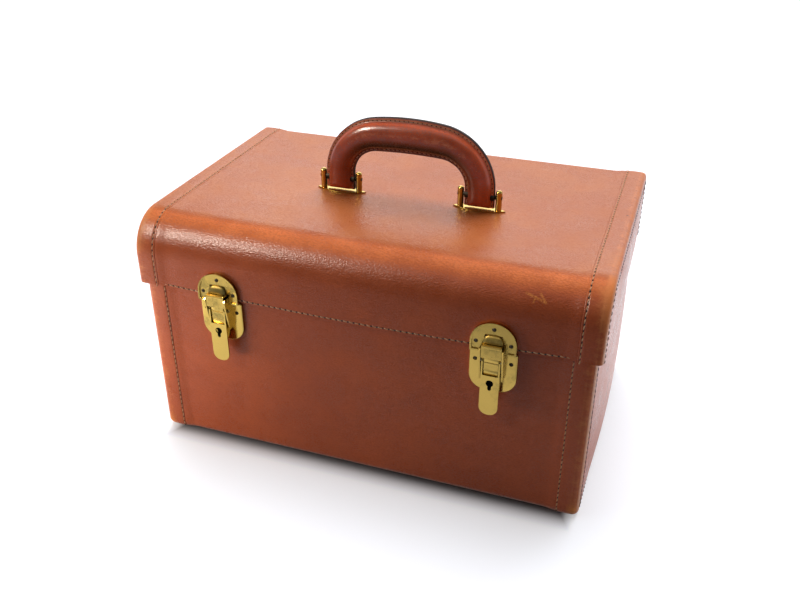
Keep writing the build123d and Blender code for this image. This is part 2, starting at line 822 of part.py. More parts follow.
# Nails of the latch plates, catch plates and hinge leaves
latch_nail_points = [(centre + x, z) for _, centre in latches for x, z in plate_nails]
catch_nail_points = [(centre + x, z) for _, centre in latches for x, z in catch_nails]
with BuildPart() as case_nails:
    nail_group(front_places(latch_nail_points, case_face + nail_length))
    nail_group(back_places(case_leaf_nails, back_face - nail_length))
finish(case_nails, "case_nails")

with BuildPart() as lid_nails:
    nail_group(front_places(catch_nail_points, lid_face + nail_length))
    nail_group(back_places(lid_leaf_nails, back_face - nail_length))
finish(lid_nails, "lid_nails")

# Lid stays: a slotted arm turns on the lid and slides on a stud of the case. Both pivots lie at the
# same distance from the hinge pin, so the arm turns by half of the lid's angle.
half_opening = radians(lid_opening / 2)
stay_slot_radius = stay_stud_radius + stay_stud_gap
stay_pivot_z = hinge_z + stay_drop
stay_stud_z = hinge_z - stay_drop
stay_closed = 2 * stay_drop
stay_end = stay_pivot_z - collar_low - stay_floor_gap - stay_half_width
stay_open = stay_end - stay_slot_radius - stay_half_width
stay_y = hinge_y - (stay_open - stay_closed * cos(half_opening)) / (2 * sin(half_opening))
stay_outside = case_inner_end - collar_thickness - stay_side_gap

for name, side in sides:
    with BuildPart() as stay_arm:
        with BuildSketch(Plane.YZ.offset(side * stay_outside)):
            with Locations((stay_y, stay_pivot_z - stay_end / 2)):
                Rectangle(2 * stay_half_width, stay_end)
            with Locations((stay_y, stay_pivot_z), (stay_y, stay_pivot_z - stay_end)):
                Circle(stay_half_width)
            with Locations((stay_y, stay_pivot_z)):
                Circle(stay_pivot_radius + stay_pivot_fit, mode=Mode.SUBTRACT)
            with Locations((stay_y, stay_pivot_z - (stay_closed + stay_open) / 2)):
                Rectangle(2 * stay_slot_radius, stay_open - stay_closed, mode=Mode.SUBTRACT)
            slot_ends = ((stay_y, stay_pivot_z - stay_closed), (stay_y, stay_pivot_z - stay_open))
            with Locations(*slot_ends):
                Circle(stay_slot_radius, mode=Mode.SUBTRACT)
        extrude(amount=-side * stay_thickness)
    finish(stay_arm, f"stay_arm_{name}")


def stay_bolt(side, root, z, radius):
    """A foot on a wall, a round shank through the arm and a head on the arm's inner side."""
    inside = stay_outside - stay_thickness - stay_side_gap / 2
    pieces = (
        (root - stay_foot_thickness, root, stay_foot_radius),
        (inside, root, radius),
        (inside - stay_head_thickness, inside, stay_head_radius),
    )
    for low, high, size in pieces:
        start = low if side > 0 else -high
        cross_pin(start, stay_y, z, size, high - low)


with BuildPart() as stay_pivots:
    for _, side in sides:
        stay_bolt(side, lid_inner_end, stay_pivot_z, stay_pivot_radius)
finish(stay_pivots, "stay_pivots")

with BuildPart() as stay_studs:
    for _, side in sides:
        stay_bolt(side, case_inner_end - collar_thickness, stay_stud_z, stay_stud_radius)
finish(stay_studs, "stay_studs")

# Handle plates, posts and pins on the lid
plate_top = cover_top + handle_plate_thickness
handle_pivot_z = plate_top + handle_thickness / 2 + handle_foot_gap
handle_post_spacing = handle_leg_width + 2 * (handle_post_gap + handle_post_radius)
handle_plate_length = handle_post_spacing + 2 * handle_plate_overhang
leg_centres = [handle_x + side * handle_leg_spacing / 2 for _, side in sides]
post_centres = [leg + side * handle_post_spacing / 2 for leg in leg_centres for _, side in sides]

for (name, _), leg in zip(sides, leg_centres):
    with BuildPart() as handle_plate:
        with BuildSketch(Plane.XY.offset(cover_top)) as plate_shape:
            with BuildLine():
                ends = (leg - handle_plate_length / 2, leg + handle_plate_length / 2)
                half_width = handle_plate_width / 2
                ThreePointArc((ends[0], handle_y), (leg, handle_y + half_width), (ends[1], handle_y))
                ThreePointArc((ends[1], handle_y), (leg, handle_y - half_width), (ends[0], handle_y))
            make_face()
        extrude(amount=handle_plate_thickness)
    finish(handle_plate, f"handle_plate_{name}")

with BuildPart() as handle_posts:
    with Locations(*[(x, handle_y, plate_top) for x in post_centres]):
        Cylinder(
            handle_post_radius,
            handle_pivot_z + handle_post_rise - plate_top,
            align=(Align.CENTER, Align.CENTER, Align.MIN),
        )
    fillet(handle_posts.faces().group_by(Axis.Z)[-1].edges(), handle_post_round)
    for leg in leg_centres:
        reach = handle_post_spacing / 2 + handle_post_radius
        cross_pin(
            leg - reach, handle_y, handle_pivot_z, handle_pin_radius, 2 * reach, mode=Mode.SUBTRACT
        )
finish(handle_posts, "handle_posts")

with BuildPart() as handle_pins:
    for leg in leg_centres:
        reach = handle_post_spacing / 2 + handle_post_radius - handle_pin_setback
        cross_pin(leg - reach, handle_y, handle_pivot_z, handle_pin_radius, 2 * reach)
finish(handle_pins, "handle_pins")


# Handle: a steel core between two stitched leather halves, with a bush in each leg
def arch_line(half, top, spring, crown, foot):
    """Two upright legs up to the spring height, two corner arcs and a flatter arc over the top."""
    slope = tan(radians(crown) / 2)
    corner = (top - spring - half * slope) / (1 - slope)
    top_radius = corner + (half - corner) / sin(radians(crown))
    left = Line((handle_x - half, foot), (handle_x - half, spring))
    rise = JernArc(left @ 1, (0, 1), corner, crown - 90)
    over = JernArc(rise @ 1, rise % 1, top_radius, -2 * crown)
    fall = JernArc(over @ 1, over % 1, corner, crown - 90)
    right = Line(fall @ 1, (handle_x + half, foot))
    return left @ 0, right @ 1


arch_top = cover_top + handle_height
outer_half = (handle_leg_spacing + handle_leg_width) / 2
inner_half = (handle_leg_spacing - handle_leg_width) / 2


def arch_face(outer, inner, foot):
    """The face between an outer and an inner arch, each given as half width, top, spring and crown."""
    with BuildLine() as arches:
        start, end = arch_line(*outer, foot)
        inner_start, inner_end = arch_line(*inner, foot)
        Line(start, inner_start)
        Line(end, inner_end)
    make_face(arches.edges())


handle_spring = handle_pivot_z + handle_leg_straight
outer_arch = (outer_half, arch_top, handle_spring, handle_outer_crown)
inner_arch = (inner_half, arch_top - handle_band, handle_spring, handle_inner_crown)
with BuildPart() as handle_body:
    with BuildSketch(Plane.XZ.offset(-handle_y)):
        arch_face(outer_arch, inner_arch, handle_pivot_z)
    extrude(amount=handle_thickness / 2, both=True)
    long_edges = handle_body.faces().filter_by(Axis.Y).edges()
    fillet(long_edges - long_edges.group_by(Axis.Z)[0], handle_edge_round)
    with BuildSketch(Plane.XY.offset(handle_pivot_z)) as leg_ends:
        for leg in leg_centres:
            with Locations((leg, handle_y)):
                RectangleRounded(handle_leg_width, handle_thickness, handle_edge_round)
        with Locations((handle_x, handle_y - handle_thickness)):
            Rectangle(handle_leg_spacing + 2 * handle_leg_width, 2 * handle_thickness, mode=Mode.SUBTRACT)
    revolve(axis=Axis((handle_x, handle_y, handle_pivot_z), (-1, 0, 0)), revolution_arc=180)

core_margin = (handle_leg_width - handle_core_width) / 2
core_drop = (handle_band - handle_core_width) / 2
core_foot = handle_pivot_z + handle_core_clear
core_spring = core_foot + handle_core_straight
core_outer = (outer_half - core_margin, arch_top - core_drop, core_spring, handle_outer_crown)
core_inner = (inner_half + core_margin, arch_top - handle_band + core_drop, core_spring, handle_inner_crown)
with BuildPart() as handle_core:
    with BuildSketch(Plane.XZ.offset(-handle_y)):
        arch_face(core_outer, core_inner, core_foot)
    extrude(amount=handle_core_thickness / 2, both=True)
finish(handle_core, "handle_core")

bush_radius = handle_pin_radius + handle_running_fit + handle_bush_wall
for name, keep in (("front", Keep.BOTTOM), ("back", Keep.TOP)):
    with BuildPart() as handle_leather:
        add(handle_body.part)
        add(handle_core.part, mode=Mode.SUBTRACT)
        for leg in leg_centres:
            leg_low = leg - handle_leg_width / 2
            cross_pin(leg_low, handle_y, handle_pivot_z, bush_radius, handle_leg_width, mode=Mode.SUBTRACT)
        split(bisect_by=Plane(origin=(handle_x, handle_y, arch_top), z_dir=(0, 1, 0)), keep=keep)
    finish(handle_leather, f"handle_leather_{name}")

with BuildPart() as handle_bushes:
    for leg in leg_centres:
        leg_low = leg - handle_leg_width / 2
        bore_radius = handle_pin_radius + handle_running_fit
        cross_pin(leg_low, handle_y, handle_pivot_z, bush_radius, handle_leg_width)
        cross_pin(leg_low, handle_y, handle_pivot_z, bore_radius, handle_leg_width, mode=Mode.SUBTRACT)
finish(handle_bushes, "handle_bushes")
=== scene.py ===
"""Looks of the tan leather vanity case: leather, stitching, brass, lining, floor, light and camera.

Shapes are worked out in millimetres, with the case's own frame: X to the right along the front,
Y to the back, Z up. They are written to their meshes in metres.
"""

import contextlib
import math

import bmesh
import bpy
import numpy as np
from mathutils import Matrix, Vector


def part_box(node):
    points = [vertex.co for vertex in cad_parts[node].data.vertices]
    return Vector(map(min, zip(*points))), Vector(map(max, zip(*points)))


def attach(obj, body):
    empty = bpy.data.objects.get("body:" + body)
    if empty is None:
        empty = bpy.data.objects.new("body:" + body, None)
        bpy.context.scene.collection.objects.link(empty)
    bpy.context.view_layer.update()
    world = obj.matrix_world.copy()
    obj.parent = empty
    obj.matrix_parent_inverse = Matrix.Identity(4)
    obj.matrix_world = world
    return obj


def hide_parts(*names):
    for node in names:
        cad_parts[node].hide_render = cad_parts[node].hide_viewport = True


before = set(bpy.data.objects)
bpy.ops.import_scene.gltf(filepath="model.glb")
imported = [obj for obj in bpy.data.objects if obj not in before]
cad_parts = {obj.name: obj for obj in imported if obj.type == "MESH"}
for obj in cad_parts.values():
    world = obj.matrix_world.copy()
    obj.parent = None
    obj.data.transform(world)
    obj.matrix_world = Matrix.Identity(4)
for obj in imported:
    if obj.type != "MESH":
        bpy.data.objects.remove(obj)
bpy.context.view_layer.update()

bl_info = {
    "name": "Vanity case",
    "version": (1, 0, 0),
    "blender": (4, 5, 0),
    "location": "3D View > Sidebar > Vanity case",
    "description": "Leather, stitching, brass and lining for the vanity case",
    "category": "Object",
}

MM = 0.001


def box_mm(node):
    """Lowest and highest corner of a node of the frame, in millimetres."""
    low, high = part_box(node)
    return np.array(low) / MM, np.array(high) / MM


# Places read from the frame
lid_low, lid_high = box_mm("lid_right_binding")
case_low, case_high = box_mm("case_right_binding")
lid_half, lid_front, back, parting, lid_top = lid_high[0], lid_low[1], lid_high[1], lid_low[2], lid_high[2]
case_half, case_front, case_top = case_high[0], case_low[1], case_high[2]
grip_low, grip_high = box_mm("handle_leather_front")

# Sizes of the leather work, in millimetres
binding = 1.2
leather = 3.2
lid_front_round, lid_back_round, case_round, least_round = 30.0, 6.0, 8.0, 3.0
lid_rim, case_rim = 4.0, 5.0
lid_strip, case_strip = 17.0, 16.5
flange = 9.0
skirt_bow = 4.0
panel_inset = 9.15
lid_pad, lid_crown, case_pad, case_crown = 3.4, 2.0, 6.0, 4.0
grip_centre = np.array([(grip_low[0] + grip_high[0]) / 2, grip_high[1]])
grip_half = grip_high[1] - grip_low[1]
grip_outer_half = (grip_high[0] - grip_low[0]) / 2
grip_leg = 22.5
grip_pivot = grip_low[2] + grip_half
grip_spring = grip_pivot + 5.0
outer_crown, inner_crown, inner_drop = 8.0, 4.0, 26.6
cover_inset = 1.6
sides = (("left", -1), ("right", 1))
case_seam, lid_seam, flange_seam, groove_depth = 15.5, 15.1, 6.3, 0.16

# Distances in metres: points this close are merged, and pins have edges this fine
weld, fine_edge = 1e-6, 0.0001


def colour(name, description, value):
    return bpy.props.FloatVectorProperty(
        name=name, description=description, subtype="COLOR", size=3, min=0, max=1, default=value
    )


def length(name, description, value):
    return bpy.props.FloatProperty(
        name=name, description=description, subtype="DISTANCE", unit="LENGTH", min=0, default=value
    )


def share(name, description, value):
    return bpy.props.FloatProperty(
        name=name, description=description, subtype="FACTOR", min=0, max=1, default=value
    )


def number(name, description, value):
    return bpy.props.FloatProperty(name=name, description=description, default=value)


class LeatherLook(bpy.types.PropertyGroup):
    """Colours and grain of the leather."""

    tan: colour("Tan leather", "Main colour of the covers and bindings", (0.5, 0.1, 0.03))
    # Painted light: a brighter tone for the lit band over the lid's rounded front
    tan_lit_band: colour("Lit band tone", "Over the lid's rounded front", (0.76, 0.2, 0.058))
    # Painted sheen: the up-facing top gets this paler tone in place of the sheen that light gives it
    tan_top_sheen: colour("Top sheen tone", "On the lid's top", (0.45, 0.138, 0.04))
    # Also the tone of a crease's painted shade on the case's front
    tan_dark_and_shade: colour("Darkened leather and shade", "Where hands and age have darkened it", (0.3, 0.055, 0.018))
    tan_worn: colour("Worn leather", "Rubbed rims and corners", (0.68, 0.23, 0.075))
    tan_scuffed: colour("Scuffed corners", "On the lower corners, rubbed down to the tan", (1.0, 0.37, 0.08))
    # Partly real and partly painted light: bare worn leather along the front of the end rims, made paler as a painted
    # highlight
    tan_rim_worn_and_lit: colour("Bare leather and rim highlight", "Along the rims of the ends, where the colour has gone", (0.92, 0.6, 0.42))
    # Used for real dark spots on the lid, and as painted shade along the bottom of the ends' flanges
    grime_and_shade: colour("Grime and shade", "Low on the ends", (0.035, 0.018, 0.012))
    grip: colour("Grip leather", "Main colour of the handle", (0.74, 0.128, 0.048))
    grip_worn: colour("Worn grip", "Where the handle is rubbed", (0.78, 0.25, 0.1))
    # Painted shade: this darker tone lies on the lower side of the grip's top bar, where shade falls
    grip_shade_tone: colour("Grip shade", "Where hands have darkened the handle", (0.035, 0.009, 0.006))
    edge: colour("Edge paint", "Painted edges of the handle", (0.02, 0.008, 0.006))
    grain: length("Grain", "Width of one pebble of the grain", 0.00095)
    gloss: share("Roughness", "Roughness of the polished leather", 0.28)
    wear: share("Wear", "How much the rims and corners are rubbed", 0.6)


class StitchLook(bpy.types.PropertyGroup):
    """Stitch rows and nails."""

    thread: colour("Thread", "Colour of the waxed thread", (0.56, 0.32, 0.18))
    # A darker thread, used for the seams on the ends' flanges
    flange_thread: colour("Flange thread", "On the ends, where it is dirty", (0.07, 0.035, 0.02))
    # Painted shade: a flat dark disc stands in each needle hole for the shade inside it
    hole: colour("Needle hole shade", "Colour inside the holes", (0.03, 0.012, 0.008))
    pitch: length("Stitch pitch", "From one stitch to the next", 0.00433)
    thickness: length("Thread thickness", "Across the thread", 0.0009)
    nail: length("Nail head", "Across a nail's head", 0.0029)
    dome: length("Nail dome", "Height of a nail's head", 0.0007)


class MetalLook(bpy.types.PropertyGroup):
    """Colours and edges of the metal."""

    brass: colour("Brass", "Clean brass", (0.48, 0.325, 0.08))
    tarnish: colour("Tarnish", "Darkened brass", (0.17, 0.13, 0.04))
    steel: colour("Steel", "Pins and stays", (0.5, 0.48, 0.45))
    iron: colour("Nails", "Dark nail heads", (0.05, 0.04, 0.03))
    bevel: length("Rounded edges", "Width of the rounded edge on the metal", 0.00022)


class LiningLook(bpy.types.PropertyGroup):
    """Colours of the inside."""

    cloth: colour("Lining", "Woven lining", (0.5, 0.33, 0.2))
    board: colour("Board", "Pressed board at the rims", (0.35, 0.24, 0.15))
    weave: length("Weave", "From one thread of the lining to the next", 0.0011)


class StageLook(bpy.types.PropertyGroup):
    """Floor, light and camera."""

    floor: colour("Floor", "Colour of the floor", (0.6, 0.62, 0.68))
    bounce: colour("Bounce", "Light that the floor gives back to the case", (0.125, 0.12, 0.112))
    key: number("Key light", "Light from the upper left, in watts", 0.64)
    shine: number("Shine", "Strip seen only in the leather's gloss, in watts", 7.0)
    fill: number("Fill light", "Light from the lower left, in watts", 0.9)
    side: number("Side light", "Light from the right, in watts", 0.5)
    top: number("Top light", "Strength of the light overhead", 3.75)
    back: number("Back light", "Light from behind, in watts", 4.4)
    lens: bpy.props.FloatProperty(
        name="Focal length", description="Of the camera, in millimetres", unit="CAMERA", default=39.65
    )


# Meshes


def place_object(name, data, body=None):
    """A new object in the scene, which rides on a body if one is given."""
    made = bpy.data.objects.new(name, data)
    bpy.context.scene.collection.objects.link(made)
    if body:
        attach(made, body)
    return made


@contextlib.contextmanager
def edited(mesh):
    """A mesh open for editing, and written back at the end."""
    bm = bmesh.new()
    bm.from_mesh(mesh)
    yield bm
    bm.to_mesh(mesh)
    bm.free()


def mesh_piece(name, points, faces, body, uv=None, marks=None):
    """A new smooth mesh from points in millimetres, riding on a body."""
    mesh = bpy.data.meshes.new(name)
    mesh.from_pydata([tuple(p) for p in np.asarray(points, float) * MM], [], faces)
    if uv is not None:
        layer = mesh.uv_layers.new(name="UVMap")
        corners = np.empty(len(mesh.loops), np.int32)
        mesh.loops.foreach_get("vertex_index", corners)
        layer.data.foreach_set("uv", (np.asarray(uv, float)[corners] * MM).astype(np.float32).ravel())
    for mark, values in (marks or {}).items():
        attribute = mesh.attributes.new(mark, "FLOAT", "POINT")
        attribute.data.foreach_set("value", np.asarray(values, np.float32))
    with edited(mesh) as bm:
        bmesh.ops.recalc_face_normals(bm, faces=bm.faces)
    mesh.shade_smooth()
    return place_object(name, mesh, body)


def sharpen(piece, degrees):
    """Marks the edges that turn by more than an angle as sharp."""
    with edited(piece.data) as bm:
        for edge in bm.edges:
            edge.smooth = len(edge.link_faces) == 2 and edge.calc_face_angle(0) < math.radians(degrees)
    piece.data.shade_smooth()
    return piece


def loft(name, rings, body, uv=None, marks=None):
    """A closed skin through rings with the same number of points, with a flat cap at both ends."""
    rings = np.asarray(rings, float)
    stations, around = rings.shape[:2]
    faces = [
        (s * around + a, s * around + (a + 1) % around, (s + 1) * around + (a + 1) % around, (s + 1) * around + a)
        for s in range(stations - 1)
        for a in range(around)
    ]
    faces.append(tuple(range(around)))
    faces.append(tuple((stations - 1) * around + a for a in reversed(range(around))))
    flat = None if uv is None else np.asarray(uv, float).reshape(-1, 2)
    marks = {mark: np.asarray(values, float).ravel() for mark, values in (marks or {}).items()}
    return mesh_piece(name, rings.reshape(-1, 3), faces, body, flat, marks)


def arc(centre, radius, first, last, count):
    """Places on an arc between two angles in degrees, and the directions that point out of it."""
    angles = np.radians(np.linspace(first, last, count + 1))
    outward = np.stack([np.cos(angles), np.sin(angles)], 1)
    return np.asarray(centre) + radius * outward, outward


def straight(start, end, outward, count):
    """Places on a straight run, and the direction that points out of it."""
    return np.linspace(start, end, count + 1), np.tile(np.asarray(outward, float), (count + 1, 1))


def joined(*runs):
    """Runs put end to end, without the doubled places between them."""
    places = [runs[0][0]] + [run[0][1:] for run in runs[1:]]
    outward = [runs[0][1]] + [run[1][1:] for run in runs[1:]]
    return np.concatenate(places), np.concatenate(outward)


def case_line(inset):
    """The case's side view from the front rim, under the base, to the back rim, moved in by inset."""
    bend = max(case_round - inset, least_round)
    near, far, low = case_front + inset, back - inset, inset
    return joined(
        straight((near, case_top), (near, low + bend), (-1, 0), 22),
        arc((near + bend, low + bend), bend, 180, 270, 8),
        straight((near + bend, low), (far - bend, low), (0, -1), 24),
        arc((far - bend, low + bend), bend, 270, 360, 8),
        straight((far, low + bend), (far, case_top), (1, 0), 22),
    )


def lid_line(inset):
    """The lid's side view from the front rim, over the top, to the back rim, moved in by inset."""
    bend, far_bend = max(lid_front_round - inset, least_round), max(lid_back_round - inset, least_round)
    near, far, high = lid_front + inset, back - inset, lid_top - inset
    return joined(
        straight((near, parting), (near, high - bend), (-1, 0), 6),
        arc((near + bend, high - bend), bend, 180, 90, 20),
        straight((near + bend, high), (far - far_bend, high), (0, 1), 24),
        arc((far - far_bend, high - far_bend), far_bend, 90, 0, 6),
        straight((far, high - far_bend), (far, parting), (1, 0), 10),
    )


def stationed(x, places):
    """Places of the side view, or lengths along it, put at a place along the case."""
    return np.column_stack([np.full(len(places), x), places])


def run_length(points):
    """The distance along a line of points up to each of them."""
    steps = np.linalg.norm(np.diff(points, axis=0), axis=1)
    return np.concatenate([[0], np.cumsum(steps)])


# Node trees


class Wire:
    """A node's output, which adds, subtracts and multiplies with other outputs and with numbers."""

    def __init__(self, tree, socket):
        self.tree, self.socket = tree, socket

    def __getitem__(self, name):
        return Wire(self.tree, self.socket.node.outputs[name])

    def __add__(self, other):
        return self.tree.math("ADD", self, other)

    def __sub__(self, other):
        return self.tree.math("SUBTRACT", self, other)

    def __rsub__(self, other):
        return self.tree.math("SUBTRACT", other, self)

    def __mul__(self, other):
        return self.tree.math("MULTIPLY", self, other)

    def held(self):
        """The value kept between 0 and 1."""
        return self.tree.node("ShaderNodeMath", {0: self, 1: 0.0}, operation="ADD", use_clamp=True)

    def spread(self, low, high, to_low=0.0, to_high=1.0):
        """The value spread smoothly from one range to another, and held inside it."""
        inputs = {"Value": self, "From Min": low, "From Max": high, "To Min": to_low, "To Max": to_high}
        return self.tree.node("ShaderNodeMapRange", inputs, interpolation_type="SMOOTHSTEP")

    def noise(self, scale, detail=2.0, roughness=0.5, out="Fac"):
        """Noise at these places."""
        inputs = {"Vector": self, "Scale": scale, "Detail": detail, "Roughness": roughness}
        return self.tree.node("ShaderNodeTexNoise", inputs, out)

    def stretched(self, *scale):
        """These places, scaled along each axis."""
        return self.tree.node("ShaderNodeMapping", {"Vector": self, "Scale": scale})


class Tree:
    """A node tree, with short ways to add to it."""

    def __init__(self, made):
        self.made = made

    def feed(self, socket, value):
        """Links an input to an output, or sets its value."""
        if isinstance(value, Wire):
            self.made.links.new(value.socket, socket)
        elif socket.type == "RGBA":
            socket.default_value = (*value, 1)[:4]
        else:
            socket.default_value = value

    def node(self, kind, inputs=None, out=0, **settings):
        """Adds a node with its settings and inputs, and gives one of its outputs."""
        made = self.made.nodes.new(kind)
        for name, value in settings.items():
            setattr(made, name, value)
        for key, value in (inputs or {}).items():
            self.feed(made.inputs[key], value)
        return Wire(self, made.outputs[out]) if len(made.outputs) else None

    def math(self, operation, *values):
        return self.node("ShaderNodeMath", dict(enumerate(values)), operation=operation)

    def vector(self, operation, inputs, out=0):
        return self.node("ShaderNodeVectorMath", inputs, out, operation=operation)

    def point(self, *parts):
        return self.node("ShaderNodeCombineXYZ", dict(enumerate(parts)))

    def mix(self, factor, first, second):
        """Two colours mixed by a factor."""
        return self.node("ShaderNodeMix", {0: factor, 6: first, 7: second}, 2, data_type="RGBA")

    def place(self):
        """Places on the piece, in its own frame."""
        return self.node("ShaderNodeTexCoord", out="Object")

    def mark(self, name):
        """A mark that the piece's points carry."""
        return self.node("ShaderNodeAttribute", out="Fac", attribute_name=name)

    def bump(self, height, strength, distance):
        """The way that a surface faces with a height on it."""
        return self.node("ShaderNodeBump", {"Strength": strength, "Distance": distance, "Height": height})


def shade(tone, amount):
    """A darker or lighter tone."""
    return [min(part * amount, 1) for part in tone]


def shader_group(name, ins, outs):
    """An empty shader group with its named inputs and outputs, and what it is given."""
    made = bpy.data.node_groups.new(name, "ShaderNodeTree")
    for label, kind, value in ins:
        socket = made.interface.new_socket(name=label, in_out="INPUT", socket_type=f"NodeSocket{kind}")
        if value is not None:
            socket.default_value = value
    for label, kind in outs:
        made.interface.new_socket(name=label, in_out="OUTPUT", socket_type=f"NodeSocket{kind}")
    tree = Tree(made)
    return tree, tree.node("NodeGroupInput")


def leather_grain():
    """Pebbled leather: its colour with rubbing and stains, its roughness and its height."""
    if "Leather grain" in bpy.data.node_groups:
        return bpy.data.node_groups["Leather grain"]
    tree, given = shader_group(
        "Leather grain",
        [
            ("Vector", "Vector", None),
            ("Main", "Color", (0.4, 0.1, 0.04, 1)),
            ("Dark", "Color", (0.2, 0.05, 0.02, 1)),
            ("Worn", "Color", (0.6, 0.25, 0.1, 1)),
            ("Grain", "Float", 900.0),
            ("Gloss", "Float", 0.35),
            ("Wear", "Float", 0.0),
            ("Depth", "Float", 1.0),
        ],
        [("Color", "Color"), ("Roughness", "Float"), ("Height", "Float")],
    )
    at, dark, worn, wear = given["Vector"], given["Dark"], given["Worn"], given["Wear"]
    warp = tree.vector("SCALE", {0: at.noise(420.0, 1.0, out="Color"), 3: 0.0011})
    moved = tree.vector("ADD", {0: at, 1: warp})
    pebble_inputs = {"Vector": moved.stretched(0.55, 0.8, 1.15), "Scale": given["Grain"], "Smoothness": 0.5}
    pebbles = tree.node("ShaderNodeTexVoronoi", pebble_inputs, "Distance", feature="SMOOTH_F1")
    creases = at.stretched(0.3, 0.7, 1.4).noise(260.0, 3.0, 0.6).spread(0.35, 0.65)
    fine = at.noise(2600.0, 2.0, 0.6)
    height = pebbles * -1.1 + creases * 0.28 + fine * 0.35
    patchy = at.noise(38.0, 4.0, 0.65)
    tint = (at.noise(9.0, 3.0, 0.55) + patchy * 0.6).spread(0.62, 1.0)
    base = tree.mix((1.0 - tint) * 0.42, given["Main"], dark)
    valleys = pebbles.spread(0.35, 0.75)
    base = tree.mix(valleys * 0.3, base, dark)
    rub = (wear * 0.7 + (at.stretched(0.6, 1.0, 1.0).noise(210.0, 6.0, 0.75) - 0.5)).spread(0.25, 0.72)
    base = tree.mix(rub * 0.7, base, worn)
    flecks = at.stretched(0.7, 1.0, 1.3).noise(640.0, 3.0, 0.7) + wear * 0.12
    base = tree.mix(flecks.spread(0.68, 0.76) * 0.6, base, worn)
    scuffs = at.stretched(1.0, 1.0, 3.0).noise(55.0, 6.0, 0.75).spread(0.68, 0.75)
    base = tree.mix(scuffs * 0.25, base, worn)
    stains = at.noise(75.0, 4.0, 0.7).spread(0.665, 0.73)
    base = tree.mix(stains * 0.5, base, dark)
    rough = (given["Gloss"] + (patchy - 0.5) * 0.28 + rub * 0.14 + valleys * 0.1).held()
    tree.node("NodeGroupOutput", {"Color": base, "Roughness": rough, "Height": height * given["Depth"]})
    return tree.made


def metal_age():
    """Handled metal: its colour with tarnish in the hollows, its roughness and fine scratches."""
    if "Metal age" in bpy.data.node_groups:
        return bpy.data.node_groups["Metal age"]
    tree, given = shader_group(
        "Metal age",
        [
            ("Vector", "Vector", None),
            ("Clean", "Color", (0.7, 0.5, 0.2, 1)),
            ("Tarnish", "Color", (0.2, 0.14, 0.06, 1)),
            ("Amount", "Float", 0.5),
            ("Gloss", "Float", 0.25),
        ],
        [("Color", "Color"), ("Roughness", "Float"), ("Height", "Float")],
    )
    at = given["Vector"]
    clouds, spots = at.noise(60.0), at.noise(340.0, 4.0, 0.7)
    amount = (clouds + (spots - 0.5) * 0.45 + (given["Amount"] - 0.5)).spread(0.36, 0.78)
    amount = (amount + spots.spread(0.66, 0.74, 0.0, 0.7)).held()
    scratches = at.stretched(6.0, 1.0, 0.4).noise(1500.0, 2.0, 0.6)
    rough = (given["Gloss"] + amount * 0.15 + scratches * 0.06).held()
    colour = tree.mix(amount, given["Clean"], given["Tarnish"])
    tree.node("NodeGroupOutput", {"Color": colour, "Roughness": rough, "Height": clouds * 0.5 + scratches * 0.2})
    return tree.made


def finish(name, paint):
    """The material of a name, whose shader gets its inputs and any glow from paint the first time."""
    if name not in bpy.data.materials:
        material = bpy.data.materials.new(name)
        material.use_nodes = True
        material.node_tree.nodes.clear()
        tree = Tree(material.node_tree)
        inputs = paint(tree)
        glow = inputs.pop("Glow", None)
        surface = tree.node("ShaderNodeBsdfPrincipled", inputs)
        if glow:
            light = tree.node("ShaderNodeEmission", {"Color": (1, 1, 1), "Strength": glow})
            surface = tree.node("ShaderNodeAddShader", {0: surface, 1: light})
        tree.node("ShaderNodeOutputMaterial", {"Surface": surface})
    return bpy.data.materials[name]


def line_mark(tree, at, start, end, width):
    """How near places are to a line between two places in millimetres, from 0 to 1 within its width."""
    start, end = np.array(start) * MM, np.array(end) * MM
    span = end - start
    off = tree.vector("SUBTRACT", {0: at, 1: tuple(start)})
    along = tree.vector("DOT_PRODUCT", {0: off, 1: tuple(span / (span @ span))}, "Value").held()
    nearest = tree.vector("SCALE", {0: tuple(span), 3: along})
    gap = tree.vector("DISTANCE", {0: off, 1: nearest}, "Value")
    return gap.spread(width * MM * 0.3, width * MM, 1.0, 0.0)


def leather_finish(name, tones, grain, gloss, depth, wear, touches, lines=(), specular=0.28, coat=0.0):
    """Leather in its main, dark and worn tones, whose marks each blend in a tone, with scratches and a coat."""

    def paint(tree):
        at = tree.place()
        main, dark, worn = tones
        rough = gloss
        for mark, tone in touches:
            main = tree.mix(tree.mark(mark), main, tone)
        if coat:
            edge = tree.mark("edge")
            rough = edge * 0.5 + gloss
        inputs = {"Vector": at, "Main": main, "Dark": dark, "Worn": worn, "Grain": 1 / grain}
        inputs |= {"Gloss": rough, "Depth": depth, "Wear": tree.mark("wear") * wear}
        made = tree.node("ShaderNodeGroup", inputs, node_tree=leather_grain())
        shown = made["Color"]
        if lines:
            broken = at.noise(900.0).spread(0.36, 0.6, 0.25, 1.0)
        for start, end, width, amount, tone in lines:
            shown = tree.mix(line_mark(tree, at, start, end, width) * (broken * amount), shown, tone)
        inputs = {"Base Color": shown, "Roughness": made["Roughness"], "Specular IOR Level": specular}
        inputs["Normal"] = tree.bump(made["Height"], 0.45, 0.00028)
        if coat:
            inputs |= {"Coat Weight": (1.0 - edge) * coat, "Coat Roughness": 0.12}
        return inputs

    return finish(name, paint)


def metal_finish(name, clean, tarnish, amount, gloss):
    """Aged metal."""

    def paint(tree):
        inputs = {"Vector": tree.place(), "Clean": clean, "Tarnish": tarnish, "Amount": amount, "Gloss": gloss}
        made = tree.node("ShaderNodeGroup", inputs, node_tree=metal_age())
        normal = tree.bump(made["Height"], 0.25, 0.00008)
        return {"Base Color": made["Color"], "Roughness": made["Roughness"], "Normal": normal, "Metallic": 1.0}

    return finish(name, paint)


def speckled_finish(name, scale, first, second, roughness, specular=0.5, texture=0.5):
    """A plain finish with specks between two tones."""

    def paint(tree):
        specks = tree.place().noise(scale, roughness=texture)
        return {
            "Base Color": tree.mix(specks, first, second), "Roughness": roughness, "Specular IOR Level": specular
        }

    return finish(name, paint)


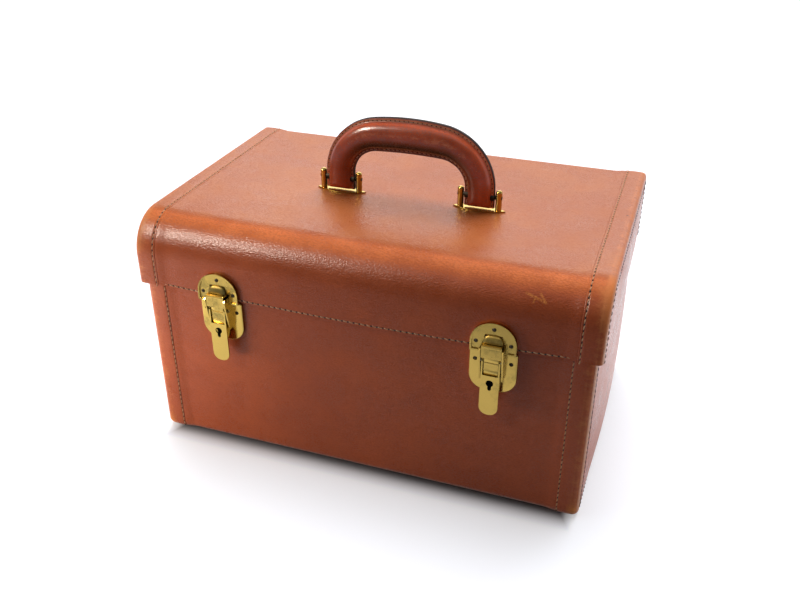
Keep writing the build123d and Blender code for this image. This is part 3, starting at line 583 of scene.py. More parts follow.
def cover_leather():
    look = bpy.context.scene.case_leather
    # Painted light: a brighter band over the rounded front and a paler sheen on the top
    touches = (("turned", look.tan_lit_band), ("top_sheen", look.tan_top_sheen))
    # Three strokes of a scratch, the painted shade of a crease, and a dark spot: start, end, width, strength and tone
    lines = (
        ((118.3, -102.3, 176.7), (131.4, -104.7, 173.1), 1.3, 0.5, look.tan_scuffed),
        ((127.3, -101.8, 177.3), (131.4, -104.7, 173.1), 1.2, 0.45, look.tan_scuffed),
        ((124.5, -103.3, 175.4), (123.3, -105.4, 171.8), 1.0, 0.35, look.tan_scuffed),
        # Painted shade of a crease
        ((-25.1, -102.0, 68.0), (-23.7, -102.0, 18.0), 1.8, 0.4, look.tan_dark_and_shade),
        ((7.0, 15.0, 187.8), (7.3, 15.1, 187.8), 0.9, 0.7, look.grime_and_shade),
    )
    tones = look.tan, look.tan_dark_and_shade, look.tan_worn
    return leather_finish("Cover leather", tones, look.grain, look.gloss, 1.0, look.wear, touches, lines)


def binding_leather():
    look = bpy.context.scene.case_leather
    # Painted light among these touches: a brighter band over the rounded front, a paler sheen on the top, a painted
    # highlight on the rims' front over bare worn leather, and painted shade low on the ends; the scuffed corners are
    # wear
    touches = (
        ("turned", look.tan_lit_band), ("top_sheen", look.tan_top_sheen), ("scuffed", look.tan_scuffed),
        ("bared_and_highlit", look.tan_rim_worn_and_lit), ("painted_low_shade", look.grime_and_shade),
    )
    lines = (((167.1, 14.2, 188.8), (167.4, 14.4, 188.8), 1.1, 1.0, look.grime_and_shade),)
    tones = look.tan, look.tan_dark_and_shade, look.tan_worn
    return leather_finish("Binding leather", tones, look.grain, look.gloss, 0.7, 1.0, touches, lines)


def grip_leather():
    look = bpy.context.scene.case_leather
    # The grip's lower side gets painted shade; its edges get edge paint
    tones, touches = (look.grip, look.edge, look.grip_worn), (("grip_shade", look.grip_shade_tone), ("edge", look.edge))
    grain = look.grain * 0.7
    return leather_finish("Grip leather", tones, grain, 0.22, 0.45, 1.0, touches, specular=0.4, coat=0.2)


def brass(name, amount, gloss):
    """Brass with its share of tarnish and its roughness."""
    look = bpy.context.scene.case_metal
    return metal_finish(name, look.brass, look.tarnish, amount, gloss)


def steel():
    look = bpy.context.scene.case_metal
    return metal_finish("Steel", look.steel, shade(look.steel, 0.35), 0.35, 0.3)


def dark_steel():
    look = bpy.context.scene.case_metal
    return metal_finish("Dark steel", look.iron, shade(look.iron, 0.4), 0.5, 0.35)


def keyhole_shade_finish():
    """Painted shade: the dark inside of a keyhole."""
    iron = bpy.context.scene.case_metal.iron
    return speckled_finish("Keyhole shade", 1500.0, shade(iron, 0.1), shade(iron, 0.3), 0.7, specular=0.0)


def lining_cloth():
    """Plain woven cloth."""
    look = bpy.context.scene.case_lining

    def paint(tree):
        at = tree.place()
        parts = tree.node("ShaderNodeSeparateXYZ", {0: at})
        turns = 2 * math.pi / look.weave
        across = tree.math("SINE", parts["X"] * turns)
        down = tree.math("SINE", (parts["Y"] + parts["Z"]) * turns)
        height = across * down + at.noise(1400.0, 3.0, 0.7)
        fade = at.noise(22.0, 4.0, 0.6).spread(0.45, 0.75, 0.0, 0.35)
        tone = tree.mix(height.spread(-0.6, 1.4), shade(look.cloth, 0.55), look.cloth)
        tone = tree.mix(fade, tone, shade(look.cloth, 0.7))
        normal = tree.bump(height, 0.6, 0.0002)
        return {"Base Color": tone, "Normal": normal, "Roughness": 0.85, "Sheen Weight": 0.3}

    return finish("Lining cloth", paint)


def board_finish():
    """Pressed board with its layers and fibres."""
    board = bpy.context.scene.case_lining.board

    def paint(tree):
        fibres = tree.place().stretched(1.0, 1.0, 0.4).noise(700.0, 5.0, 0.7)
        tone = tree.mix(fibres, shade(board, 0.6), board)
        return {"Base Color": tone, "Normal": tree.bump(fibres, 0.4, 0.0002), "Roughness": 0.9}

    return finish("Pressed board", paint)


def mirror_finish():
    """Silvered glass with a faint haze."""

    def paint(tree):
        haze = tree.place().noise(30.0, 4.0, 0.6).spread(0.4, 0.8, 0.02, 0.09)
        return {"Roughness": haze, "Base Color": (0.86, 0.88, 0.88), "Metallic": 1.0}

    return finish("Mirror glass", paint)


def dress(piece, material):
    """Gives a piece its finish."""
    piece.data.materials.clear()
    piece.data.materials.append(material)
    return piece


# Pieces


def sun_marks(outward):
    """How far places are rounded over, and how far they face up, from the way that they face. Both marks carry painted
    light: a brighter band over the rounded front and a paler sheen on the top.
    """
    up = outward[:, 1]
    top_sheen = np.clip((up - 0.955) / 0.04, 0, 1)
    turned = np.clip((up - 0.66) / 0.2, 0, 1) * (1 - top_sheen)
    return turned, top_sheen


def cover(name, body, line, low_edge, half, strip_half, node, bow=0.0):
    """A leather cover that follows the side view from end to end, and rises to the bindings' strips."""
    inner, outward = line(leather)
    # The rounded edge: depth under the face, and rise
    edge_steps = ((1.35, 0.35), (1.7, 0.08), (2.2, 0.0), (2.8, 0.05))
    rim = [np.array([line(d)[0][0] for d, _ in edge_steps]), np.array([line(d)[0][-1] for d, _ in edge_steps])]
    rises = np.array([r for _, r in edge_steps]) * low_edge
    rim[0][:, 1] += rises
    rim[1][:, 1] += rises
    ring = np.concatenate([line(binding)[0], rim[1], inner[::-1], rim[0][::-1]])
    front = len(outward)
    along = run_length(np.concatenate([ring, ring[:1]]))[:-1]
    # Marks of painted light: a brighter band over the rounded front and a paler sheen on the top
    turned, top_sheen = sun_marks(outward)
    wear = np.full(len(ring), 0.25)
    wear[:front] += 0.3 * turned
    wear[0] = wear[front : front + 4] = wear[-4:] = 0.6
    rest = np.zeros(len(ring) - front)
    near_strip = strip_half - np.array([0.03, 0.6, 1.5, 2.6, 4.0, 5.6, 7.4, 9.4, 12.0])
    beside = np.concatenate([[half, strip_half + 0.35], near_strip])
    stations = np.concatenate([-beside, np.linspace(-near_strip[-1], near_strip[-1], 49)[1:-1], beside[::-1]])
    rings, uv, marks = [], [], {mark: [] for mark in ("wear", "turned", "top_sheen")}
    for x in stations:
        here = stationed(x, ring)
        rise = 0.0 if abs(x) > strip_half else max(0.0, 1 - (strip_half - abs(x)) / 9.0)
        here[:front, 1:] = line(binding - 0.9 * rise * rise * (3 - 2 * rise))[0]
        drop = bow * max(0.0, 1 - (x / strip_half) ** 2)
        if drop:
            leg = np.concatenate([np.arange(0, 7), np.arange(len(ring) - 4 - 7, len(ring))])
            near = leg[ring[leg, 0] < lid_front + 5]
            high = ring[6, 1]
            here[near, 2] -= drop * (high - ring[near, 1]) / (high - parting)
        rings.append(here)
        uv.append(stationed(x, along))
        marks["wear"].append(wear)
        marks["turned"].append(np.concatenate([turned, rest]))
        marks["top_sheen"].append(np.concatenate([top_sheen, rest]))
    piece = loft(name, rings, body, uv, marks)
    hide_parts(node)
    return dress(sharpen(piece, 60), cover_leather())


def binding_profile(rim, strip, groove):
    """The binding's cross-section as distances from the end and from the face, its wear and its place on the skin."""
    steps = [
        (strip, binding, 0.1),
        (strip - 0.02, 0.4, 0.2),
        (strip - 0.2, 0.2, 0.3),
        (strip - 0.5, 0.06, 0.2),
        (groove + 0.45, 0.04, 0.1),
        (groove + 0.3, 0.2, 0.0),
        (groove - 0.3, 0.2, 0.0),
        (groove - 0.45, 0.04, 0.1),
        (groove - 1.5, -0.06, 0.2),
        (groove - 3.5, -0.16, 0.25),
        (groove - 6.0, -0.18, 0.3),
        (rim + 2.2, -0.1, 0.4),
        (rim + 0.6, 0.0, 0.6),
    ]
    for angle in np.linspace(0, 90, 8):
        turn = math.radians(angle)
        steps.append((rim - rim * math.sin(turn), rim - rim * math.cos(turn), 0.5 + 0.2 * math.sin(2 * turn)))
    steps += [
        (0.0, rim + 0.7, 0.6),
        (0.05, flange_seam - 0.4, 0.2),
        (0.22, flange_seam, 0.0),
        (0.05, flange_seam + 0.4, 0.1),
        (0.0, 7.4, 0.2),
        (0.02, flange - 0.6, 0.4),
        (0.18, flange - 0.2, 0.5),
        (0.5, flange, 0.3),
        (binding, flange, 0.0),
        (binding, rim + 1.0, 0.0),
    ]
    for angle in (90, 60, 30, 0):
        turn = math.radians(angle)
        steps.append((rim - (rim - binding) * math.sin(turn), rim - (rim - binding) * math.cos(turn), 0.0))
    steps.append((rim + 4.0, binding, 0.0))
    return np.array(steps)


def end_binding(name, body, line, half, rim, strip, groove, side):
    """The leather binding over one end's edges, with its seam groove, rolled rim and flange."""
    profile = binding_profile(rim, strip, groove)
    lines = [line(d)[0] for d in profile[:, 1]]
    base, outward = line(0)
    corner = np.abs(outward[:, 0] * outward[:, 1]) * 2
    across = run_length(profile[:, :2])
    along = run_length(base)
    # Marks of painted light: a brighter band over the rounded front and a paler sheen on the top
    turned, top_sheen = sun_marks(outward)
    on_face = np.clip(1 - (profile[:, 1] - 0.3) / 2.0, 0, 1)
    on_rim = np.exp(-(((profile[:, 1] - 0.55 * rim) / 1.1) ** 2)) * (profile[:, 0] < 1.5)
    on_end = (profile[:, 0] < 0.6) & (profile[:, 1] > rim)
    rings, uv = [], []
    marks = {mark: [] for mark in ("wear", "turned", "top_sheen", "scuffed", "bared_and_highlit", "painted_low_shade")}
    near_end = np.clip(1.3 - profile[:, 0] / 7.0, 0, 1)
    for s in range(len(base)):
        places = np.array([lines[p][s] for p in range(len(profile))])
        rings.append(np.column_stack([side * (half - profile[:, 0]), places]))
        uv.append(stationed(along[s], across))
        marks["wear"].append(np.clip(profile[:, 2] * (1 + 0.9 * corner[s]), 0, 1.2))
        # The lit band over the rounded front: painted light
        marks["turned"].append(on_face * turned[s])
        low_corner = (outward[s] < 0).any() * math.exp(-max(places[:, 1].min() - case_round, 0) / 4.0)
        marks["scuffed"].append(near_end * low_corner * (body == "case") * (abs(outward[s, 0]) > 0.15))
        # The top's painted sheen
        marks["top_sheen"].append(on_face * top_sheen[s])
        # Along the front of the rims: bare worn leather with a painted highlight
        marks["bared_and_highlit"].append(on_rim * np.clip(-1.2 * outward[s, 0], 0, 1))
        # Painted shade along the ends' flanges near the bottom
        marks["painted_low_shade"].append(on_end * np.clip(-outward[s, 1], 0, 1))
    piece = loft(name, rings, body, uv, marks)
    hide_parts(name)
    return dress(sharpen(piece, 60), binding_leather())


def rounded_place(y, z, low, high, bends):
    """Moves a place near a corner of a rectangle so that the rectangle's corners are rounded."""
    for (sy, sz), bend in bends.items():
        cy = low[0] + bend if sy < 0 else high[0] - bend
        cz = low[1] + bend if sz < 0 else high[1] - bend
        a, b = (y - cy) * sy / bend, (z - cz) * sz / bend
        if a > 0 and b > 0:
            return cy + sy * bend * a * math.sqrt(1 - b * b / 2), cz + sz * bend * b * math.sqrt(1 - a * a / 2)
    return y, z


def end_panel(name, body, low, high, bends, face, pad, crown, middle, side):
    """A padded end panel that rises from its edges into a shallow crown."""
    # Distances in from an edge, closest together where the panel curves most
    insets = np.array([0.0, 0.12, 0.4, 0.9, 1.8, 3.2, 5.0, 7.5, 10.5, 14.0, 18.0, 23.0])
    spread = []
    for i in (0, 1):
        span = high[i] - low[i]
        near = insets[insets < 0.4 * span]
        first = near[-1] * 1.25
        inner = np.linspace(low[i] + first, high[i] - first, 2 + int((span - 2 * first) / 16))
        spread.append(np.concatenate([low[i] + near, inner, high[i] - near[::-1]]))
    half_depth = (back - (lid_front if body == "lid" else case_front)) / 2 - flange
    radius = (half_depth**2 + crown**2) / (2 * crown)
    border = pad - crown - 0.5
    points, wear = [], []
    for y in spread[0]:
        for z in spread[1]:
            near = [y - low[0], high[0] - y, z - low[1], high[1] - z]
            edge = max(min(near), 0.0)
            gap = math.prod(1 - math.exp(-max(n, 0) / 5.5) for n in near)
            off = (y - middle[0]) ** 2 + (z - middle[1]) ** 2
            full = pad - radius + math.sqrt(radius**2 - off)
            tall = border + (full - border) * gap - 0.45 * math.exp(-edge / 0.3)
            py, pz = rounded_place(y, z, low, high, bends)
            points.append((side * (face + tall), py, pz))
            wear.append(0.25 * math.exp(-edge / 1.5) + 0.35 * gap)
    rows, columns = len(spread[0]), len(spread[1])
    faces = [
        (r * columns + c, (r + 1) * columns + c, (r + 1) * columns + c + 1, r * columns + c + 1)
        for r in range(rows - 1)
        for c in range(columns - 1)
    ]
    rim = [*range(columns), *((r + 1) * columns - 1 for r in range(1, rows))]
    rim += [(rows - 1) * columns + c for c in range(columns - 2, -1, -1)]
    rim += [r * columns for r in range(rows - 2, 0, -1)]
    start = len(points)
    for place in rim:
        points.append((side * face, points[place][1], points[place][2]))
        wear.append(0.0)
    faces += [(rim[i], rim[(i + 1) % len(rim)], start + (i + 1) % len(rim), start + i) for i in range(len(rim))]
    faces.append(tuple(range(start, start + len(rim))))
    piece = mesh_piece(name, points, faces, body, None, {"wear": wear})
    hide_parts(name)
    return dress(sharpen(piece, 60), cover_leather())


def cushion(node, body, edge, crown):
    """A cloth-covered pad in the place of a node: edges rounded over a width, sides drawn in, middle crowned."""
    low, high = box_mm(node)
    half, middle, thick = (high - low)[:2] / 2, (low + high)[:2] / 2, high[2] - low[2]
    steps = np.array([0.0, 0.08, 0.25, 0.5, 0.8, 1.2, 1.8, 2.6, 4.0, 6.5, 10.0, 15.0, 22.0])
    lines = []
    for reach in half:
        inner = np.linspace(-reach + 30, reach - 30, 2 + int(reach / 7))
        lines.append(np.concatenate([-reach + steps, inner, (reach - steps)[::-1]]))
    columns, rows = len(lines[0]), len(lines[1])
    top, bottom = [], []
    for y in lines[1]:
        for x in lines[0]:
            inset = max(min(half[0] - abs(x), half[1] - abs(y)), 0.0)
            turn = math.sqrt(max(1 - (1 - min(inset / edge, 1)) ** 2, 0)) if edge else 1.0
            swell = crown * (1 - math.exp(-max(inset - edge, 0) / 14))
            drawn_x = x * (1 - 0.003 * (1 - (y / half[1]) ** 2) * bool(crown))
            drawn_y = y * (1 - 0.005 * (1 - (x / half[0]) ** 2) * bool(crown))
            place = (middle[0] + drawn_x, middle[1] + drawn_y)
            top.append((*place, low[2] + thick / 2 * (1 + turn) + swell))
            bottom.append((*place, low[2] + thick / 2 * (1 - turn)))
    count = len(top)
    faces = []
    for r in range(rows - 1):
        for c in range(columns - 1):
            corner = r * columns + c
            ring = (corner, corner + 1, corner + columns + 1, corner + columns)
            faces += [ring, tuple(count + i for i in reversed(ring))]
    piece = mesh_piece(f"{node}_cloth", top + bottom, faces, body)
    with edited(piece.data) as bm:
        bmesh.ops.remove_doubles(bm, verts=bm.verts, dist=weld)
        bmesh.ops.recalc_face_normals(bm, faces=bm.faces)
    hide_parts(node)
    return dress(piece, lining_cloth())


def arch_places(half, top, crown):
    """Places along one arch of the handle, from the foot of the left leg to the foot of the right one."""
    slope = math.tan(math.radians(crown) / 2)
    corner = (top - grip_spring - half * slope) / (1 - slope)
    over = corner + (half - corner) / math.sin(math.radians(crown))
    x = grip_centre[0]
    foot = grip_low[2] + np.array([0.0, 0.12, 0.5, 1.2, 2.3, 3.8, 5.8, grip_half])
    leg = stationed(x - half, foot)
    left = np.concatenate([
        leg,
        straight((x - half, grip_pivot), (x - half, grip_spring), (0, 0), 2)[0][1:],
        arc((x - half + corner, grip_spring), corner, 180, 90 + crown, 18)[0][1:],
        arc((x, top - over), over, 90 + crown, 90, 8)[0][1:],
    ])
    right = left[:-1][::-1].copy()
    right[:, 0] = 2 * x - right[:, 0]
    return np.concatenate([left, right])


def grip_arches():
    """The outer and the inner arch of the grip."""
    outer = arch_places(grip_outer_half, grip_high[2], outer_crown)
    return outer, arch_places(grip_outer_half - grip_leg, grip_high[2] - inner_drop, inner_crown)


def grip_section():
    """Shares across the grip from its outer edge to its inner edge, with the half thickness, wear and edge marks."""
    steps = [(0.0, 1.2, 0, 1), (0.006, 1.7, 0, 1), (0.018, 1.95, 0.3, 0.5), (0.035, 2.0, 0.9, 0), (0.075, 1.9, 0.9, 0)]
    steps += [(0.1, 1.95, 0.8, 0), (0.122, 2.35, 0.4, 0)]
    for turn in np.linspace(158, 22, 15):
        angle = math.radians(turn)
        bulge = math.sin(angle) ** 0.8
        steps.append((0.5 + 0.378 * math.cos(angle), 2.3 + (grip_half - 2.3) * bulge, 0.04 + 0.1 * bulge**3, 0))
    steps += [(0.878, 2.35, 0.1, 0), (0.9, 1.95, 0.3, 0)]
    steps += [(0.925, 1.9, 0.35, 0), (0.955, 2.0, 0.35, 0), (0.978, 1.95, 0, 0.8), (0.994, 1.7, 0, 1), (1.0, 1.2, 0, 1)]
    return np.array(steps)


def grip_half_piece(name, side):
    """One leather half of the handle, swept along its arch, with flat stitched borders."""
    outer, inner = grip_arches()
    section = grip_section()
    rings, uv, wears, edges, grip_shade = [], [], [], [], []
    along = run_length((outer + inner) / 2)
    middle = np.clip(1.7 - 3.4 * np.abs(along / along[-1] - 0.5), 0, 1)
    # Painted shade on the lower side of the bulge, strongest in the middle of the arch
    off = section[:, 0] - 0.75
    lower = np.exp(-((np.maximum(off, 0) / 0.3) ** 2 + (np.minimum(off, 0) / 0.2) ** 2))
    width = run_length(np.column_stack([section[:, 0] * 24, section[:, 1]]))
    for s in range(len(outer)):
        places = outer[s] + (inner[s] - outer[s]) * section[:, :1]
        reach = section[:, 1].copy()
        fall = grip_pivot - outer[s, 1]
        if fall > 0:
            reach = np.minimum(reach, math.sqrt(max(grip_half**2 - fall**2, 0)) + 0.06)
        shown = np.column_stack([places[:, 0], grip_centre[1] + side * reach, places[:, 1]])
        seam = np.column_stack([places[:, 0], np.full(len(places), grip_centre[1]), places[:, 1]])[::-1]
        rings.append(np.concatenate([shown, seam]))
        uv.append(stationed(along[s], np.concatenate([width, width[::-1]])))
        rubbed = section[:, 2] + 0.5 * middle[s] * np.exp(-(((section[:, 0] - 0.42) / 0.12) ** 2))
        wears.append(np.concatenate([rubbed, np.zeros(len(section))]))
        edges.append(np.concatenate([section[:, 3], np.ones(len(section))]))
        grip_shade.append(np.concatenate([lower * middle[s], np.zeros(len(section))]))
    piece = loft(name, rings, "handle", uv, {"wear": wears, "edge": edges, "grip_shade": grip_shade})
    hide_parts(name)
    return dress(sharpen(piece, 60), grip_leather())


def round_edges(bm, edges, width, material=-1):
    """Rounds edges over a width in metres, and gives the new faces a material, or else their neighbour's."""
    bmesh.ops.bevel(
        bm, geom=edges, offset=width, segments=2, profile=0.6, affect="EDGES", clamp_overlap=True, material=material
    )


def softened(node, body, material, width=None, rim=None):
    """A copy of a node of the frame with rounded edges, which have a finish of their own if one is given."""
    width = bpy.context.scene.case_metal.bevel if width is None else width
    bm = bmesh.new()
    bm.from_mesh(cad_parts[node].data)
    bmesh.ops.remove_doubles(bm, verts=bm.verts, dist=weld)
    bmesh.ops.dissolve_limit(bm, angle_limit=math.radians(1.0), verts=bm.verts, edges=bm.edges)
    if width:
        turned = [e for e in bm.edges if len(e.link_faces) == 2 and e.calc_face_angle(0) > math.radians(30)]
        round_edges(bm, turned, width, 1 if rim else -1)
    mesh = bpy.data.meshes.new(f"{node}_shown")
    for part in filter(None, (material, rim)):
        mesh.materials.append(part)
    bm.to_mesh(mesh)
    bm.free()
    mesh.shade_smooth()
    piece = place_object(f"{node}_shown", mesh, body)
    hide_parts(node)
    piece.modifiers.new("Even shading", "WEIGHTED_NORMAL").keep_sharp = True
    return sharpen(piece, 50)


# Stitches and nails, made with Geometry Nodes


def geometry_tree(name, sizes):
    """An empty geometry tree with named lengths, and what it is given."""
    made = bpy.data.node_groups.new(name, "GeometryNodeTree")
    made.interface.new_socket(name="Geometry", in_out="INPUT", socket_type="NodeSocketGeometry")
    for label, value in sizes:
        made.interface.new_socket(name=label, in_out="INPUT", socket_type="NodeSocketFloat").default_value = value
    made.interface.new_socket(name="Geometry", in_out="OUTPUT", socket_type="NodeSocketGeometry")
    tree = Tree(made)
    return tree, tree.node("NodeGroupInput")


def facing(tree):
    """Which way the leather faces at a point."""
    return tree.node("GeometryNodeInputNamedAttribute", {"Name": "facing"}, data_type="FLOAT_VECTOR")


def scattered(tree, points, instance, turn):
    """A shape on every point, turned there, as plain geometry."""
    placed = tree.node("GeometryNodeInstanceOnPoints", {"Points": points, "Instance": instance, "Rotation": turn})
    return tree.node("GeometryNodeRealizeInstances", {"Geometry": placed})


def stitch_tree(thread, hole):
    """Threads along rows of points, each with a dark disc, the painted shade of the needle hole that it comes out of.
    """
    tree, given = geometry_tree("Stitch rows", (("Pitch", 0.0043), ("Thread", 0.0007)))
    pitch, thick = given["Pitch"], given["Thread"]
    rows = tree.node("GeometryNodeMeshToCurve", {"Mesh": given["Geometry"]})
    rows = tree.node("GeometryNodeResampleCurve", {"Curve": rows, "Length": pitch}, mode="LENGTH")
    along = tree.node("GeometryNodeInputTangent")
    turn = tree.node("FunctionNodeAlignRotationToVector", {"Vector": along}, axis="X")
    turned = {"Rotation": turn, "Vector": facing(tree)}
    turn = tree.node("FunctionNodeAlignRotationToVector", turned, axis="Z", pivot_axis="X")
    half = pitch * 0.31
    bend = {
        "Resolution": 5,
        "Start": tree.point(half * -1.0, thick * 0.35, thick * -0.4),
        "Middle": tree.point(0.0, 0.0, thick * 0.5),
        "End": tree.point(half, thick * -0.35, thick * -0.4),
    }
    spine = tree.node("GeometryNodeCurveQuadraticBezier", bend)
    around = tree.node("GeometryNodeCurvePrimitiveCircle", {"Resolution": 6, "Radius": thick * 0.5})
    swept = {"Curve": spine, "Profile Curve": around, "Fill Caps": True}
    thread_mesh = tree.node("GeometryNodeCurveToMesh", swept)
    # The needle hole: a flat dark disc as painted shade
    sizes = {"Vertices": 8, "Radius": thick * 0.85, "Depth": thick * 0.4}
    hole_shade_mesh = tree.node("GeometryNodeMeshCylinder", sizes)
    step = tree.point(pitch * 0.5, 0.0, thick * -0.14)
    hole_shade_mesh = tree.node("GeometryNodeTransform", {"Geometry": hole_shade_mesh, "Translation": step})
    marked = {"Geometry": hole_shade_mesh, "Name": "hole", "Value": True}
    hole_shade_mesh = tree.node("GeometryNodeStoreNamedAttribute", marked, data_type="BOOLEAN", domain="FACE")
    both = tree.node("GeometryNodeJoinGeometry")
    for part in (hole_shade_mesh, thread_mesh):
        tree.feed(both.socket.node.inputs[0], part)
    solid = scattered(tree, rows, both, turn)
    solid = tree.node("GeometryNodeSetMaterial", {"Geometry": solid, "Material": thread})
    in_hole = tree.node("GeometryNodeInputNamedAttribute", {"Name": "hole"}, data_type="BOOLEAN")
    solid = tree.node("GeometryNodeSetMaterial", {"Geometry": solid, "Selection": in_hole, "Material": hole})
    tree.node("NodeGroupOutput", {0: solid})
    return tree.made


def grown(name, points, edges, faces, tree, values, body):
    """Runs a geometry tree on rows or points and keeps the result as a plain mesh on a body."""
    mesh = bpy.data.meshes.new(name)
    mesh.from_pydata([tuple(p) for p in np.asarray(points, float) * MM], edges, [])
    direction = mesh.attributes.new("facing", "FLOAT_VECTOR", "POINT")
    direction.data.foreach_set("vector", np.asarray(faces, np.float32).ravel())
    piece = place_object(name, mesh)
    modifier = piece.modifiers.new("Grown", "NODES")
    modifier.node_group = tree
    for item in tree.interface.items_tree:
        if item.in_out == "INPUT" and item.name in values:
            modifier[item.identifier] = values[item.name]
    bpy.context.view_layer.update()
    made = bpy.data.meshes.new_from_object(piece.evaluated_get(bpy.context.evaluated_depsgraph_get()))
    if not len(made.polygons):
        raise RuntimeError(f"{name} came out empty")
    piece.modifiers.clear()
    piece.data = made
    made.name = name
    made.shade_smooth()
    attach(piece, body)
    return piece


def row(places, outward):
    """A row for stitches: its places and which way the leather faces there."""
    return np.asarray(places, float), np.asarray(outward, float)


def rows_joined(rows):
    """Rows put together as points, edges and facings."""
    points = np.concatenate([places for places, _ in rows])
    faces = np.concatenate([outward for _, outward in rows])
    edges, start = [], 0
    for places, _ in rows:
        edges += [(start + i, start + i + 1) for i in range(len(places) - 1)]
        start += len(places)
    return points, edges, faces


def seam_row(line, half, away, side):
    """A seam through the binding's face, away from the end."""
    places, outward = line(groove_depth)
    places[:, 1] = np.maximum(places[:, 1], 0.65)
    return row(stationed(side * (half - away), places), stationed(0.0, outward))


def flange_row(line, half, side):
    """A seam through the binding's flange on the end."""
    places, _ = line(flange_seam)
    return row(stationed(side * (half - 0.12), places), np.tile([side, 0.0, 0.0], (len(places), 1)))


def skirt_row():
    """The seam above the lid cover's bowed lower edge, between the bindings."""
    half = lid_half - lid_strip - 1.0
    x = np.linspace(-half, half, 81)
    z = parting - skirt_bow * (1 - (x / (lid_half - lid_strip)) ** 2) + 1.6
    y = np.full(len(x), lid_front + binding - 0.02)
    return row(np.column_stack([x, y, z]), np.tile([0.0, -1.0, 0.0], (len(x), 1)))


def grip_rows():
    """The seams along the grip's outer and inner borders, on its front and back."""
    outer, inner = grip_arches()
    rows = []
    for side in (-1, 1):
        for portion in (0.075, 0.925):
            places = (outer + (inner - outer) * portion)[5:-5]
            y = np.full(len(places), grip_centre[1] + side * 1.92)
            outward = np.tile([0.0, side, 0.0], (len(places), 1))
            rows.append(row(np.column_stack([places[:, 0], y, places[:, 1]]), outward))
    return rows


def nail_tree(material):
    """Domed nail heads on points."""
    tree, given = geometry_tree("Nail heads", (("Width", 0.003), ("Dome", 0.0007)))
    width = given["Width"]
    ball = tree.node("GeometryNodeMeshUVSphere", {"Segments": 14, "Rings": 8, "Radius": width * 0.5})
    flat = tree.point(1.0, 1.0, tree.math("DIVIDE", given["Dome"] * 2.0, width))
    ball = tree.node("GeometryNodeTransform", {"Geometry": ball, "Scale": flat})
    turn = tree.node("FunctionNodeAlignRotationToVector", {"Vector": facing(tree)}, axis="Z")
    solid = scattered(tree, given["Geometry"], ball, turn)
    solid = tree.node("GeometryNodeSetMaterial", {"Geometry": solid, "Material": material})
    tree.node("NodeGroupOutput", {0: solid})
    return tree.made


def nail_places(node):
    """Centres of the nails in a node of the frame, with their facing, from its separate solids."""
    bm = bmesh.new()
    bm.from_mesh(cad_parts[node].data)
    bmesh.ops.remove_doubles(bm, verts=bm.verts, dist=weld)
    left, places, faces = set(bm.verts), [], []
    while left:
        reached, front = set(), [next(iter(left))]
        while front:
            vert = front.pop()
            if vert in reached:
                continue
            reached.add(vert)
            front += [edge.other_vert(vert) for edge in vert.link_edges]
        left -= reached
        points = np.array([tuple(v.co) for v in reached]) / MM
        low, high = points.min(0), points.max(0)
        at_back = high[1] > 0
        places.append(((low[0] + high[0]) / 2, high[1] if at_back else low[1], (low[2] + high[2]) / 2))
        faces.append((0.0, 1.0 if at_back else -1.0, 0.0))
    bm.free()
    order = sorted(range(len(places)), key=lambda i: places[i])
    return [places[i] for i in order], [faces[i] for i in order]


def rounded_blocks(name, blocks, body, width, material):
    """Small blocks with rounded edges, from their low and high corners in millimetres."""
    bm = bmesh.new()
    for low, high in blocks:
        low, high = Vector(low) * MM, Vector(high) * MM
        middle, span = (low + high) / 2, high - low
        bmesh.ops.create_cube(bm, size=1, matrix=Matrix.Translation(middle) @ Matrix.Diagonal((*span, 1)))
    round_edges(bm, bm.edges[:], width * MM)
    mesh = bpy.data.meshes.new(name)
    bm.to_mesh(mesh)
    bm.free()
    mesh.shade_smooth()
    return dress(sharpen(place_object(name, mesh, body), 50), material)


def catch_hood(side, material):
    """The hood that is pressed out of the catch plate over the tip of the hook."""
    low, high = box_mm(f"hook_{side}")
    centre, foot = (low[0] + high[0]) / 2, high[2] + 0.3
    back_y, out, tall, half = lid_front + binding - 0.15, 2.1, 5.6, 6.6
    bends = np.radians(np.linspace(90, 0, 10))
    rings = []
    for x in np.linspace(-half, half, 25):
        rise = tall * (1 - abs(x / 6.75) ** 3.4) ** 0.4
        lean = out * (1 - 0.35 * abs(x / half) ** 6)
        front = [(back_y - 2.0 - lean * math.sin(a), foot + rise * math.cos(a)) for a in bends]
        ring = [(back_y, foot), *front, (back_y, foot + rise)]
        rings.append([(centre + x, y, z) for y, z in ring])
    piece = loft(f"catch_hood_{side}", rings, "lid")
    return dress(sharpen(piece, 50), material)


class VANITY_OT_covers(bpy.types.Operator):
    """Make the leather covers of the case and the lid"""

    bl_idname = "vanity.covers"
    bl_label = "Leather covers"

    def execute(self, context):
        half, strip_half = case_half - cover_inset, case_half - case_strip
        cover("case_cover_leather", "case", case_line, -1, half, strip_half, "case_cover")
        half, strip_half = lid_half - cover_inset, lid_half - lid_strip
        cover("lid_cover_leather", "lid", lid_line, 1, half, strip_half, "lid_cover", bow=skirt_bow)
        softened("case_base_panel", "case", cover_leather(), 0.0004)
        return {"FINISHED"}


class VANITY_OT_bindings(bpy.types.Operator):
    """Make the bindings over the ends of the case and the lid"""

    bl_idname = "vanity.bindings"
    bl_label = "End bindings"

    def execute(self, context):
        for name, side in sides:
            end_binding(f"case_{name}_binding", "case", case_line, case_half, case_rim, case_strip, case_seam, side)
            end_binding(f"lid_{name}_binding", "lid", lid_line, lid_half, lid_rim, lid_strip, lid_seam, side)
        return {"FINISHED"}


